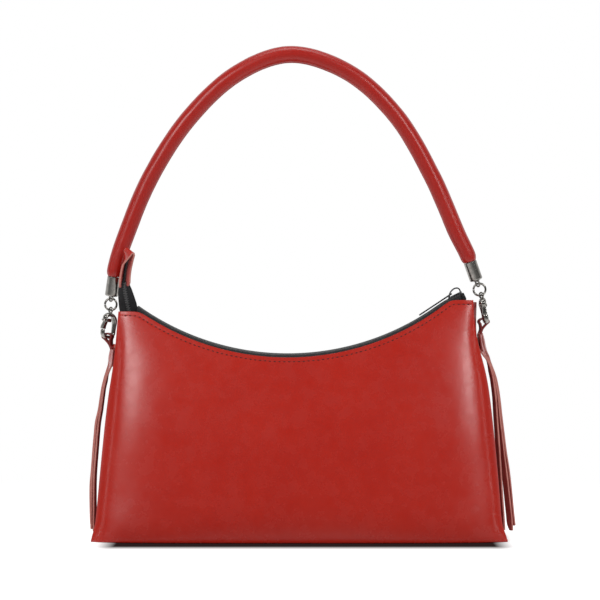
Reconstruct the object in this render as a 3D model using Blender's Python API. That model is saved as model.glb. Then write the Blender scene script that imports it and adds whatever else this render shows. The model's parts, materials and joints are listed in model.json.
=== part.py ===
"""Baguette shoulder bag: leather shell, lining, curved zip, rolled handle on trigger clasps.

Metres, +Z up, +X to the right of the front, -Y towards the viewer.
The origin is the centre of the base, on the surface that the bag stands on.
"""
import math

import bmesh
import bpy
from mathutils import Matrix, Vector

# Shell, outside of the leather
BASE_LENGTH = 0.2924
BASE_SHIFT = -0.0015
TOP_LENGTH = 0.2604
TOP_SHIFT = -0.0020
LEFT_HEIGHT = 0.1647
RIGHT_HEIGHT = 0.1730
LIP_LOW = 0.1317
LIP_RADIUS = 0.190
LIP_CENTRE_X = -0.0094
LIP_ROUNDING = 0.0012
LEFT_BELLY = 0.0012
RIGHT_BELLY = 0.0020
BASE_DEPTH = 0.086
MIDDLE_DEPTH = 0.072
TOP_DEPTH = 0.030
BASE_SIDE_DEPTH = 0.076
MIDDLE_SIDE_DEPTH = 0.048
TOP_SIDE_DEPTH = 0.026
PLAN_ROUNDING = 4
FOLD_RADIUS = 0.006
HEM_WIDTH = 0.006

# Sheets and clearances
LEATHER = 0.0018
LINING = 0.0007
GAP = 0.0003
SHEET_GAP = 0.0006
GUSSET_INSET = 0.0015
LEFT_GUSSET_BULGE = -0.001
RIGHT_GUSSET_BULGE = 0.0025
BOARD_THICKNESS = 0.0018

# Slip pocket on the back lining
POCKET_WIDTH = 0.100
POCKET_BOTTOM = 0.024
POCKET_TOP = 0.088
POCKET_DEPTH = 0.0085

# Zip
ZIP_RISE = 0.0025
TAPE_THICKNESS = 0.0006
TAPE_LEG = 0.012
ZIP_LEFT_INSET = 0.0137
TOOTH_PITCH = 0.0048
TOOTH_LENGTH = 0.0019
TOOTH_OVERLAP = 0.0007
COIL_BED = 0.0013
COIL_HALF_WIDTH = 0.0026
COIL_THICKNESS = 0.0012
SLIDER_INSET = 0.0182
CHAIN_REACH = 0.0016
SLIDER_LENGTH = 0.011
SLIDER_HALF_WIDTH = 0.0042
SLIDER_PLATE = 0.0012
CROWN_HEIGHT = 0.0030
CROWN_HALF_LENGTH = 0.0042
CROWN_WIRE = 0.0006
PULL_LENGTH = 0.028
PULL_WIDTH = 0.006
PULL_THICKNESS = 0.001
PULL_SLOT = 0.0085
PULL_SLOT_WIDTH = 0.0026
PULL_TILT = math.radians(3.5)
TAPE_END_LENGTH = 0.006
TAPE_END_DROP = 0.003

# Zip tail at the left corner
TAIL_WIDTH = 0.010
TAIL_THICKNESS = 0.0012
TAIL_HEIGHT = 0.0405
TAIL_TAB_START = 0.020
TAIL_TAB_WIDTH = 0.011
TAIL_TAB_LEATHER = 0.0013

# Shape of the tail's curve: shares of its height, sideways and up
TAIL_CURVE = [(0.0, 0.0), (-0.062, -0.010), (-0.128, 0.030), (-0.168, 0.123), (-0.179, 0.259),
              (-0.160, 0.395), (-0.120, 0.543), (-0.076, 0.691), (-0.026, 0.840), (0.033, 1.0)]

# Handle and its fittings
SWING_TILT = math.radians(2.3)
CLASP_LEAN = math.radians(12.5)
LEFT_RING_LEAN = math.radians(4)
RIGHT_RING_LEAN = math.radians(-15)
CLASP_REACH = 0.0147
RING_SPAN = 0.0085
RING_WIRE = 0.0007
LEFT_CLASP_OUT = 0.0090
LEFT_CLASP_DOWN = 0.0136
RIGHT_CLASP_OUT = 0.0075
LEFT_CLASP_SPIN = math.radians(45)
RIGHT_CLASP_SPIN = math.radians(90)
HOOK_HALF_WIDTH = 0.00505
HOOK_DEPTH = 0.00505
HOOK_WIRE = 0.0012
HOOK_BREADTH = 1.35
HOOK_CORNER = 0.0034
HOOK_TIP = 0.0004
BARREL_RADIUS = 0.0022
EYE_HOLE = 0.0013
EYE_WIRE = 0.00055
GATE_PIN = 0.00045
GATE_WIDTH = 0.0017
EAR_THICKNESS = 0.0009
EAR_REACH = 0.0013
CAP_REACH = 0.017
CAP_RADIUS = 0.0048
CAP_LENGTH = 0.0140
LEFT_CAP_LEAN = math.radians(8)
RIGHT_CAP_LEAN = math.radians(-19.5)
HANDLE_RISE = 0.1568
HANDLE_RADIUS = 0.0062
HANDLE_LEATHER = 0.0016
HANDLE_NECK = 0.0045
HANDLE_NECK_LENGTH = 0.006
CORE_TAIL = 0.006
HANDLE_STEP = 0.012

# Shape of the handle's curve: share of the span, share of the rise
HANDLE_CURVE = [(0.037, 0.186), (0.1154, 0.461), (0.2346, 0.734), (0.375, 0.927), (0.5213, 1.0),
                (0.680, 0.906), (0.8075, 0.70), (0.9016, 0.415), (0.968, 0.132)]

# Side loops and the strips below them
STRAP_WIDTH = 0.004
STRAP_THICKNESS = 0.0013
LOOP_HALF_WIDTH = 0.0035
LOOP_CLEARANCE = 0.0008
PATCH_WIDTH = 0.022
PATCH_HEIGHT = 0.013
PATCH_THICKNESS = 0.0018
LOOP_NECK = 0.0085
LOOP_POINT = 0.0022
LOOP_BRIDGE = 0.002
STRIP_COUNT = 3
STRIP_WIDTH = 0.0062
STRIP_PITCH = 0.0078
STRIP_THICKNESS = 0.0016
LEFT_STRIP_LENGTH = 0.119
RIGHT_STRIP_LENGTH = 0.130
STRIP_FOOT = 0.004
LEFT_STRIP_FLARES = [1.4, 2.0, 2.8]
RIGHT_STRIP_FLARES = [2.6, 4.4, 5.9]
LEFT_STRIP_BOW = 0.0066
RIGHT_STRIP_BOW = 0.0036

# How a strip bows outwards: share of its length, share of the bow
STRIP_CURVE = [(0.0, 0.0), (0.02, 0.15), (0.08, 0.66), (0.18, 0.92), (0.35, 1.05), (0.55, 0.97),
               (0.75, 0.68), (0.90, 0.30), (1.0, 0.0)]
STRIP_TIP = 0.8

# Fineness of the curved sheets
COLUMNS = 20
UPPER_ROWS = 7
FOLD_STEPS = 3
LINING_COLUMNS = 14
LINING_ROWS = 6
ZIP_COLUMNS = 30

HEIGHT = (LEFT_HEIGHT + RIGHT_HEIGHT) / 2
LIP_CENTRE_Z = LIP_LOW + LIP_RADIUS
ZIP_RADIUS = LIP_RADIUS - ZIP_RISE
TOP_LEFT_X = TOP_SHIFT - TOP_LENGTH / 2
TOP_RIGHT_X = TOP_SHIFT + TOP_LENGTH / 2
BASE_LEFT_X = BASE_SHIFT - BASE_LENGTH / 2
BASE_RIGHT_X = BASE_SHIFT + BASE_LENGTH / 2
ZIP_LEFT_X = TOP_LEFT_X + ZIP_LEFT_INSET
SLIDER_X = TOP_RIGHT_X - SLIDER_INSET


def remove_all():
    for item in list(bpy.data.objects):
        bpy.data.objects.remove(item, do_unlink=True)


def make_material(name, colour, roughness, metallic=0.0):
    material = bpy.data.materials.new(name)
    material.use_nodes = True
    shader = material.node_tree.nodes["Principled BSDF"]
    shader.inputs["Base Color"].default_value = (*colour, 1.0)
    shader.inputs["Roughness"].default_value = roughness
    shader.inputs["Metallic"].default_value = metallic
    return material


def make_object(name, bm, look=None):
    mesh = bpy.data.meshes.new(name)
    bm.to_mesh(mesh)
    bm.free()
    item = bpy.data.objects.new(name, mesh)
    bpy.context.scene.collection.objects.link(item)
    if look:
        colour, roughness, metallic = look
        mesh.materials.append(make_material(name, colour, roughness, metallic))
    return item


def smooth(item, angle=35):
    item.data.shade_smooth()
    item.data.set_sharp_from_angle(angle=math.radians(angle))
    return item


def set_origin(item, point):
    """Move the object's origin to a point, with its shape left where it is."""
    item.data.transform(Matrix.Translation(-Vector(point)))
    item.location = point
    return item


# Colours as they look in daylight, roughness, metallic
RED_LEATHER = ((0.42, 0.034, 0.026), 0.32, 0.0)
DARK_LEATHER = ((0.25, 0.02, 0.018), 0.45, 0.0)
BLACK_WEAVE = ((0.015, 0.015, 0.016), 0.75, 0.0)
BLACK_COIL = ((0.02, 0.02, 0.022), 0.35, 0.0)
LINING_WEAVE = ((0.035, 0.03, 0.03), 0.85, 0.0)
GUNMETAL = ((0.09, 0.09, 0.10), 0.28, 1.0)
GREY_BOARD = ((0.25, 0.22, 0.19), 0.9, 0.0)
CORD = ((0.55, 0.50, 0.42), 0.9, 0.0)


# Meshes

def grid_mesh(rows, wrap=False):
    """A sheet of quads through rows of points; wrap closes each row into a ring."""
    bm = bmesh.new()
    verts = [[bm.verts.new(point) for point in row] for row in rows]
    count = len(rows[0])
    steps = count if wrap else count - 1
    for low, high in zip(verts, verts[1:]):
        for k in range(steps):
            nxt = (k + 1) % count
            bm.faces.new((low[k], low[nxt], high[nxt], high[k]))
    return bm


def sheet(name, rows, thickness, outside, look, wrap=False):
    """A grid given its thickness away from its outer side, which looks along the outside vector."""
    bm = grid_mesh(rows, wrap)
    bm.normal_update()
    facing = sum((face.normal * face.calc_area() for face in bm.faces), Vector())
    if callable(outside):
        turn = sum(face.normal.dot(outside(face.calc_center_median())) for face in bm.faces)
    else:
        turn = facing.dot(Vector(outside))
    if turn < 0:
        bmesh.ops.reverse_faces(bm, faces=bm.faces[:])
    item = make_object(name, bm, look)
    wall = item.modifiers.new("thickness", "SOLIDIFY")
    wall.thickness = thickness
    wall.offset = -1
    wall.use_even_offset = True
    return smooth(item)


def ring_frames(points, closed=False, start=None):
    """Tangent, side and up vectors along a path, with the least twist."""
    count = len(points)
    tangents = []
    for k in range(count):
        after = points[(k + 1) % count] if closed or k + 1 < count else points[k]
        before = points[k - 1] if closed or k > 0 else points[k]
        tangents.append((after - before).normalized())
    up = Vector(start) if start else tangents[0].orthogonal()
    frames = []
    for tangent in tangents:
        up = (up - tangent * up.dot(tangent)).normalized()
        frames.append((tangent, tangent.cross(up), up))
    return frames


def tube_mesh(points, radii, sides, closed=False, start=None):
    """A round bar along a path; radii is one number or one for each point."""
    points = [Vector(point) for point in points]
    if not isinstance(radii, (list, tuple)):
        radii = [radii] * len(points)
    rows = []
    for point, radius, (_, side, up) in zip(points, radii, ring_frames(points, closed, start)):
        turn = [2 * math.pi * k / sides for k in range(sides)]
        rows.append([point + radius * (math.cos(a) * side + math.sin(a) * up) for a in turn])
    if closed:
        rows.append(rows[0])
    bm = grid_mesh(rows, wrap=True)
    if closed:
        bmesh.ops.remove_doubles(bm, verts=bm.verts[:], dist=1e-6)
    else:
        bmesh.ops.holes_fill(bm, edges=bm.edges[:], sides=0)
    bmesh.ops.recalc_face_normals(bm, faces=bm.faces[:])
    return bm


def turned_mesh(profile, sides):
    """A profile of (radius, height) points, from axis to axis, turned round Z."""
    bm = bmesh.new()
    verts = [bm.verts.new((radius, 0, height)) for radius, height in profile]
    edges = [bm.edges.new(pair) for pair in zip(verts, verts[1:])]
    bmesh.ops.spin(bm, geom=verts + edges, cent=(0, 0, 0), axis=(0, 0, 1), angle=2 * math.pi,
                   steps=sides, use_duplicate=False)
    bmesh.ops.remove_doubles(bm, verts=bm.verts[:], dist=1e-6)
    bmesh.ops.recalc_face_normals(bm, faces=bm.faces[:])
    return bm


def prism_mesh(outline, low, high, axis="Z"):
    """A flat outline extruded along one axis; the outline gives the other two in order."""
    places = {"X": lambda a, b, c: (c, a, b), "Y": lambda a, b, c: (a, c, b), "Z": lambda a, b, c: (a, b, c)}
    place = places[axis]
    bm = bmesh.new()
    face = bm.faces.new([bm.verts.new(place(a, b, low)) for a, b in outline])
    grown = bmesh.ops.extrude_face_region(bm, geom=[face])
    moved = [part for part in grown["geom"] if isinstance(part, bmesh.types.BMVert)]
    bmesh.ops.translate(bm, verts=moved, vec=Vector(place(0, 0, high - low)))
    bmesh.ops.recalc_face_normals(bm, faces=bm.faces[:])
    return bm


def box_outline(x0, x1, y0, y1):
    return [(x0, y0), (x1, y0), (x1, y1), (x0, y1)]


def arc_points(cx, cz, radius, start, end, steps):
    turn = [math.radians(start + (end - start) * k / steps) for k in range(steps + 1)]
    return [(cx + radius * math.cos(a), cz + radius * math.sin(a)) for a in turn]


def combine(target, tool, operation):
    """Join a hidden tool to the target or cut it out."""
    step = target.modifiers.new(tool.name, "BOOLEAN")
    step.operation = operation
    step.solver = "EXACT"
    step.object = tool
    tool.hide_render = True
    tool.display_type = "WIRE"


def joined(target, *tools):
    for tool in tools:
        combine(target, tool, "UNION")
    return target


def cut(target, *tools):
    for tool in tools:
        combine(target, tool, "DIFFERENCE")
    return target


def place(bm, matrix):
    bm.transform(matrix)
    return bm


# The shell's surface

def through(low, middle, high, t):
    """A parabola through three values, at t of 0, one half and 1."""
    return low * (1 - t) * (1 - 2 * t) + middle * 4 * t * (1 - t) + high * t * (2 * t - 1)


def left_edge(z):
    t = z / LEFT_HEIGHT
    return BASE_LEFT_X + t * (TOP_LEFT_X - BASE_LEFT_X) - LEFT_BELLY * 4 * t * (1 - t)


def right_edge(z):
    t = z / RIGHT_HEIGHT
    return BASE_RIGHT_X + t * (TOP_RIGHT_X - BASE_RIGHT_X) + RIGHT_BELLY * 4 * t * (1 - t)


def middle_half_depth(z):
    return through(BASE_DEPTH, MIDDLE_DEPTH, TOP_DEPTH, z / HEIGHT) / 2


def side_half_depth(z):
    return through(BASE_SIDE_DEPTH, MIDDLE_SIDE_DEPTH, TOP_SIDE_DEPTH, z / HEIGHT) / 2


def across(u, z):
    """The x of a share from -1 at the left edge to 1 at the right edge."""
    return left_edge(z) + (u + 1) / 2 * (right_edge(z) - left_edge(z))


def half_depth(u, z):
    """Outer face of the front panel, as a distance from the middle plane."""
    side = side_half_depth(z)
    return side + (middle_half_depth(z) - side) * (1 - abs(u) ** PLAN_ROUNDING)


def half_depth_at(x, z):
    """The same for a place given by its x."""
    share = 2 * (x - left_edge(z)) / (right_edge(z) - left_edge(z)) - 1
    return half_depth(max(-1, min(1, share)), z)


def arc_height(x, radius):
    return LIP_CENTRE_Z - math.sqrt(radius ** 2 - (x - LIP_CENTRE_X) ** 2)


def lip_height(x):
    """The top edge: a long arc that rounds into a level stretch at each corner."""
    flat = LEFT_HEIGHT if x < LIP_CENTRE_X else RIGHT_HEIGHT
    arc = arc_height(x, LIP_RADIUS)
    low = min(flat, arc)
    spread = math.exp((low - flat) / LIP_ROUNDING) + math.exp((low - arc) / LIP_ROUNDING)
    return low - LIP_ROUNDING * math.log(spread)


def top_of_column(u):
    z = HEIGHT
    for _ in range(8):
        z = lip_height(across(u, z))
    return z


def shares(count, edge=1.0):
    return [edge * (2 * k / count - 1) for k in range(count + 1)]


HEM_EDGE = side_half_depth(0) - FOLD_RADIUS - HEM_WIDTH


def panel_column(u):
    """Points of the front panel's outer face, from the hem under the base to the lip."""
    x = across(u, 0)
    deep = half_depth(u, FOLD_RADIUS)
    points = [(x, -HEM_EDGE, 0.0)]
    for y, z in arc_points(-(deep - FOLD_RADIUS), FOLD_RADIUS, FOLD_RADIUS, 270, 180, FOLD_STEPS):
        points.append((across(u, z), y, z))
    top = top_of_column(u)
    for k in range(1, UPPER_ROWS + 1):
        z = FOLD_RADIUS + (top - FOLD_RADIUS) * k / UPPER_ROWS
        points.append((across(u, z), -half_depth(u, z), z))
    return points


def mirrored(rows, depth_sign):
    return [[(x, y * depth_sign, z) for x, y, z in row] for row in rows]


def panel(name, depth_sign):
    columns = [panel_column(u) for u in shares(COLUMNS)]
    rows = mirrored([list(row) for row in zip(*columns)], depth_sign)
    middle = Vector((0, 0, HEIGHT / 3))
    return sheet(name, rows, LEATHER, lambda centre: centre - middle, RED_LEATHER)


# Levels of the base, from the floor up
BASE_TOP = LEATHER
BOARD_LOW = BASE_TOP + GAP
BOARD_TOP = BOARD_LOW + BOARD_THICKNESS
BASE_LINING_LOW = BOARD_TOP + GAP
BASE_LINING_TOP = BASE_LINING_LOW + LINING
SIDE_LINING_LOW = max(FOLD_RADIUS, BASE_LINING_TOP + GAP)


def gusset_edge(side, z):
    """Outer face of a gusset where it meets the panels."""
    if side == "left":
        return left_edge(z) + GUSSET_INSET
    return right_edge(z) - GUSSET_INSET


def gusset_face(side, z, share=0.0):
    """Outer face of a gusset; share is 0 on the middle plane and 1 at the panels."""
    height = LEFT_HEIGHT if side == "left" else RIGHT_HEIGHT
    bulge = LEFT_GUSSET_BULGE if side == "left" else RIGHT_GUSSET_BULGE
    out = -1 if side == "left" else 1
    return gusset_edge(side, z) + out * bulge * (1 - share ** 2) * (z / height) ** 2


def gusset_rows(side, low, top, inset, depth_inset, rows, columns):
    out = -1 if side == "left" else 1
    grid = []
    for k in range(rows + 1):
        z = low + (top - low) * k / rows
        half = side_half_depth(z) - depth_inset
        grid.append([(gusset_face(side, z, s) - out * inset, s * half, z) for s in shares(columns)])
    return grid


def gusset(name, side):
    height = LEFT_HEIGHT if side == "left" else RIGHT_HEIGHT
    outside = (-1, 0, 0) if side == "left" else (1, 0, 0)
    rows = gusset_rows(side, BASE_TOP + GAP, height - GUSSET_INSET, 0.0, LEATHER + GAP, 9, 6)
    # the lowest row is drawn in, clear of the fold of the panels
    rows[0] = [(x, y * (side_half_depth(0) - FOLD_RADIUS) / side_half_depth(0), z) for x, y, z in rows[0]]
    return sheet(name, rows, LEATHER, outside, DARK_LEATHER)


def side_lining(name, side):
    height = LEFT_HEIGHT if side == "left" else RIGHT_HEIGHT
    outside = (-1, 0, 0) if side == "left" else (1, 0, 0)
    depth_inset = LEATHER + LINING + SHEET_GAP + GAP
    rows = gusset_rows(side, SIDE_LINING_LOW, height - TAPE_LEG, LEATHER + SHEET_GAP, depth_inset, 7, 4)
    return sheet(name, rows, LINING, outside, LINING_WEAVE)


LINING_SPAN = 1 - 2 * (GUSSET_INSET + LEATHER + SHEET_GAP) / TOP_LENGTH


def lining_depth(u, z):
    return half_depth(u, z) - LEATHER - SHEET_GAP


def panel_lining(name, depth_sign):
    columns = []
    for u in shares(LINING_COLUMNS, LINING_SPAN):
        top = top_of_column(u) - TAPE_LEG - 2 * GAP
        step = (top - SIDE_LINING_LOW) / LINING_ROWS
        heights = [SIDE_LINING_LOW + step * k for k in range(LINING_ROWS + 1)]
        columns.append([(across(u, z), -lining_depth(u, z), z) for z in heights])
    rows = mirrored([list(row) for row in zip(*columns)], depth_sign)
    return sheet(name, rows, LINING, (0, -depth_sign, 0), LINING_WEAVE)


def slab(name, half_left, half_right, half_y, low, high, look):
    bm = prism_mesh(box_outline(half_left, half_right, -half_y, half_y), low, high)
    return make_object(name, bm, look)


def make_shell():
    panel("front_panel", 1)
    panel("back_panel", -1)
    slab("base_panel", left_edge(0) + GAP, right_edge(0) - GAP, HEM_EDGE - GAP, 0.0, BASE_TOP, RED_LEATHER)
    gusset("left_gusset", "left")
    gusset("right_gusset", "right")
    left_in = gusset_face("left", BOARD_TOP) + LEATHER + GAP * 2
    right_in = gusset_face("right", BOARD_TOP) - LEATHER - GAP * 2
    board_half = side_half_depth(0) - FOLD_RADIUS
    slab("base_board", left_in, right_in, board_half, BOARD_LOW, BOARD_TOP, GREY_BOARD)
    lining_half = side_half_depth(BASE_LINING_TOP) - LEATHER * 1.5
    slab("base_lining", left_in, right_in, lining_half, BASE_LINING_LOW, BASE_LINING_TOP, LINING_WEAVE)
    panel_lining("front_lining", 1)
    panel_lining("back_lining", -1)
    side_lining("left_lining", "left")
    side_lining("right_lining", "right")
    make_pocket()


def pocket_back(x, z):
    """Inner face of the back lining, less the gap that the pocket keeps to it."""
    return half_depth_at(x, z) - LEATHER - LINING - SHEET_GAP - GAP


def make_pocket():
    """Slip pocket: two side walls and a front wall that stand off the back lining, with a bottom."""
    half = POCKET_WIDTH / 2
    rows = []
    steps = 4
    for k in range(steps + 1):
        z = POCKET_BOTTOM + (POCKET_TOP - POCKET_BOTTOM) * k / steps
        back = pocket_back(half, z)
        front = pocket_back(0.0, z) - POCKET_DEPTH
        rows.append([(-half, back, z), (-half, front, z), (0.0, front, z), (half, front, z), (half, back, z)])
    bm = grid_mesh(rows)
    bm.verts.ensure_lookup_table()
    bm.faces.new(bm.verts[:len(rows[0])])
    bmesh.ops.recalc_face_normals(bm, faces=bm.faces[:])
    bm.normal_update()
    if bm.faces[1].normal.y > 0:
        bmesh.ops.reverse_faces(bm, faces=bm.faces[:])
    item = make_object("inner_pocket", bm, LINING_WEAVE)
    wall = item.modifiers.new("thickness", "SOLIDIFY")
    wall.thickness = LINING
    wall.offset = -1
    wall.use_even_offset = True


# The zip

def zip_angle(x):
    return math.asin((x - LIP_CENTRE_X) / ZIP_RADIUS)


def zip_point(angle, y=0.0, up=0.0):
    """A place on the zip's arc; up is towards the arc's centre."""
    radius = ZIP_RADIUS - up
    return (LIP_CENTRE_X + radius * math.sin(angle), y, LIP_CENTRE_Z - radius * math.cos(angle))


SLIDER_ANGLE = zip_angle(SLIDER_X)
TAPE_END_ANGLE = SLIDER_ANGLE + (SLIDER_LENGTH / 2 + GAP * 3) / ZIP_RADIUS
CHAIN_END_ANGLE = SLIDER_ANGLE + CHAIN_REACH / ZIP_RADIUS
ZIP_START_ANGLE = zip_angle(ZIP_LEFT_X)
TAPE_EDGE = COIL_HALF_WIDTH + GAP


def tape(name, depth_sign):
    """Woven tape: a leg sewn behind the lip, bent over towards the coil."""
    columns = []
    for k in range(ZIP_COLUMNS + 1):
        angle = ZIP_START_ANGLE + (TAPE_END_ANGLE - ZIP_START_ANGLE) * k / ZIP_COLUMNS
        x, _, z = zip_point(angle, up=TAPE_THICKNESS / 2)
        lip = lip_height(x)
        legs = [lip - TAPE_LEG, lip - TAPE_LEG / 2, lip - GAP]
        column = [(x, -(half_depth_at(x, leg) - LEATHER - SHEET_GAP), leg) for leg in legs]
        edge = half_depth_at(x, lip) - LEATHER - SHEET_GAP
        column.append((x, -(edge - ZIP_RISE / 2), z - ZIP_RISE / 2))
        column.append((x, -(edge + TAPE_EDGE) / 2, z - GAP / 2))
        column.append((x, -TAPE_EDGE, z))
        columns.append(column)
    rows = mirrored([list(row) for row in zip(*columns)], depth_sign)
    return sheet(name, rows, TAPE_THICKNESS, (0, -depth_sign, 1), BLACK_WEAVE)


def coil(name, depth_sign, shift):
    """One row of teeth on its bed; the other row stands half a pitch along and fills the spaces."""
    bm = bmesh.new()
    found = {}
    low = -COIL_THICKNESS / 2

    def corner(along, y):
        key = (round(along, 7), y)
        if key not in found:
            angle = ZIP_START_ANGLE + along / ZIP_RADIUS
            found[key] = bm.verts.new(zip_point(angle, y * depth_sign, low))
        return found[key]

    length = (CHAIN_END_ANGLE - ZIP_START_ANGLE) * ZIP_RADIUS
    count = int(length // TOOTH_PITCH)
    for k in range(count):
        start = k * TOOTH_PITCH
        stops = [start, start + shift, start + shift + TOOTH_LENGTH, start + TOOTH_PITCH]
        for a, b in zip(stops, stops[1:]):
            if b - a > GAP:
                bm.faces.new((corner(a, -COIL_HALF_WIDTH), corner(b, -COIL_HALF_WIDTH), corner(b, -COIL_BED),
                              corner(a, -COIL_BED)))
        a, b = stops[1], stops[2]
        bm.faces.new((corner(a, -COIL_BED), corner(b, -COIL_BED), corner(b, TOOTH_OVERLAP),
                      corner(a, TOOTH_OVERLAP)))
    grown = bmesh.ops.extrude_face_region(bm, geom=bm.faces[:])
    centre = Vector((LIP_CENTRE_X, 0, LIP_CENTRE_Z))
    for part in grown["geom"]:
        if isinstance(part, bmesh.types.BMVert):
            inwards = centre - Vector((part.co.x, 0, part.co.z))
            part.co += inwards.normalized() * COIL_THICKNESS
    bmesh.ops.recalc_face_normals(bm, faces=bm.faces[:])
    return make_object(name, bm, BLACK_COIL)


def slider_frame():
    """Local X along the zip to the right, local Z towards the arc's centre."""
    return Matrix.Translation(zip_point(SLIDER_ANGLE)) @ Matrix.Rotation(-SLIDER_ANGLE, 4, "Y")


PULL_PIVOT_X = -0.0016
PLATE_LOW = COIL_THICKNESS / 2 + GAP
PLATE_TOP = PLATE_LOW + SLIDER_PLATE
TAPE_ROOM = TAPE_THICKNESS / 2 + GAP
PULL_PIVOT_Z = PLATE_TOP + GAP / 2 + PULL_THICKNESS * 0.78


def plate_outline(sign):
    """End view of one slider plate with its two flanges."""
    wide = SLIDER_HALF_WIDTH
    inner = COIL_HALF_WIDTH + 2 * GAP
    half = [(wide, PLATE_TOP), (wide, TAPE_ROOM), (inner, TAPE_ROOM), (inner, PLATE_LOW)]
    outline = half + [(-y, z) for y, z in reversed(half)]
    return [(y, z * sign) for y, z in outline]


def make_slider():
    frame = slider_frame()
    half = SLIDER_LENGTH / 2
    pivot = (LIP_CENTRE_X, 0, LIP_CENTRE_Z)
    slider = make_object("zip_slider", place(prism_mesh(plate_outline(1), -half, half, "X"), frame), GUNMETAL)
    lower = make_object("slider_lower_plate", place(prism_mesh(plate_outline(-1), -half, half, "X"), frame))
    wedge_outline = [(0.0024, 0.0), (half - 0.0008, -0.0014), (half - 0.0002, 0.0), (half - 0.0008, 0.0014)]
    reach = PLATE_LOW + SLIDER_PLATE / 2
    wedge = make_object("slider_wedge", place(prism_mesh(wedge_outline, -reach, reach), frame))
    arch = []
    steps = 8
    for k in range(steps + 1):
        a = math.pi * k / steps
        arch.append((-CROWN_HALF_LENGTH * math.cos(a), 0, PLATE_TOP + CROWN_HEIGHT * math.sin(a)))
    root = PLATE_LOW + SLIDER_PLATE / 2
    arch = [(arch[0][0], 0, root)] + arch + [(arch[-1][0], 0, root)]
    crown = make_object("slider_crown", place(tube_mesh(arch, CROWN_WIRE, 8, start=(0, 1, 0)), frame))
    joined(slider, wedge, lower, crown)
    set_origin(smooth(slider), pivot)

    turn = Matrix.Translation((PULL_PIVOT_X, 0, PULL_PIVOT_Z)) @ Matrix.Rotation(PULL_TILT, 4, "Y")
    pull_frame = frame @ turn
    bar = PULL_THICKNESS * 0.6
    wide = PULL_WIDTH / 2
    outline = [(bar, -wide), (bar, wide)] + [(-PULL_SLOT - bar, wide)]
    tip = PULL_WIDTH * 0.42
    outline += arc_points(-PULL_LENGTH + tip, 0, tip, 90, 270, 6) + [(-PULL_SLOT - bar, -wide)]
    thick = PULL_THICKNESS / 2
    pull = make_object("zip_pull", place(prism_mesh(outline, -thick, thick), pull_frame), GUNMETAL)
    slot_outline = box_outline(-PULL_SLOT, -bar, -PULL_SLOT_WIDTH / 2, PULL_SLOT_WIDTH / 2)
    slot = make_object("pull_slot", place(prism_mesh(slot_outline, -2 * thick, 2 * thick), pull_frame))
    cut(pull, slot)
    set_origin(pull, pull_frame.translation)


def make_tape_end():
    """The turned end of both tapes, just past the closed slider."""
    start = TAPE_END_ANGLE + GAP / ZIP_RADIUS
    end = start + TAPE_END_LENGTH / ZIP_RADIUS
    half = SLIDER_HALF_WIDTH
    thick = 4 * TAPE_THICKNESS
    rows = []
    for k in range(4):
        angle = start + (end - start) * k / 3
        up = thick / 2 - TAPE_END_DROP * (k / 3) ** 2
        rows.append([zip_point(angle, y * half, up - abs(y) * TAPE_THICKNESS) for y in shares(4)])
    return sheet("zip_tape_end", rows, thick, (0, 0, 1), BLACK_WEAVE)


def make_zip():
    tape("zip_tape_front", 1)
    tape("zip_tape_back", -1)
    coil("zip_coil_front", 1, 0.0)
    coil("zip_coil_back", -1, TOOTH_PITCH / 2)
    make_slider()
    make_tape_end()


# Zip tail

TAIL_START = Vector(zip_point(ZIP_START_ANGLE - 2.5 * GAP / ZIP_RADIUS))


def tail_path():
    """From the end of the zip: out to the corner, then up beside the handle."""
    return [TAIL_START + Vector((a, 0, b)) * TAIL_HEIGHT for a, b in TAIL_CURVE]


def tail_side(share):
    """Width direction of the tail: across the bag at its root, turned to the front higher up."""
    angle = math.radians(through(0, 68, 15, share))
    return Vector((-math.sin(angle), -math.cos(angle), 0))


def tail_rows(offset, width, first, last=None):
    points = tail_path()
    frames = ring_frames(points)
    rows = []
    for k in range(first, len(points) if last is None else last):
        side = tail_side(k / (len(points) - 1))
        tangent = frames[k][0]
        side = (side - tangent * side.dot(tangent)).normalized()
        normal = tangent.cross(side)
        middle = points[k] + normal * offset
        rows.append([middle - side * width / 2, middle, middle + side * width / 2])
    return rows


def make_tail():
    path = tail_path()
    half = TAIL_THICKNESS / 2
    strip = tail_rows(half, TAIL_WIDTH, 0, len(path) - 1)
    middle = len(strip) // 2
    facing = (strip[middle][2] - strip[middle][0]).cross(strip[middle + 1][1] - strip[middle][1])
    toward = strip[middle][1] - path[middle]
    outside = facing if facing.dot(toward) > 0 else -facing
    sheet("zip_tail_tape", strip, TAIL_THICKNESS, outside, BLACK_WEAVE)
    # the leather tab is folded over the tape's top, one layer on each side
    first = next(k for k, point in enumerate(path) if point.z - TAIL_START.z > TAIL_TAB_START)
    stand = half + GAP + TAIL_TAB_LEATHER
    front = tail_rows(stand, TAIL_TAB_WIDTH, first)
    back = tail_rows(-stand, TAIL_TAB_WIDTH, first)
    over = [a.lerp(b, 0.5) + Vector((0, 0, stand)) for a, b in zip(front[-1], back[-1])]
    rows = front + [over] + list(reversed(back))
    centre = path[-2].lerp(path[first], 0.5)
    sheet("zip_tail_tab", rows, TAIL_TAB_LEATHER, lambda point: point - centre, RED_LEATHER)
    for name in ("zip_tail_tape", "zip_tail_tab"):
        set_origin(bpy.data.objects[name], TAIL_START)


# Handle, rings and clasps

def lean_vector(angle):
    """Unit vector in the front plane, leaning from upright towards +X."""
    return Vector((math.sin(angle), 0, math.cos(angle)))


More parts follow.
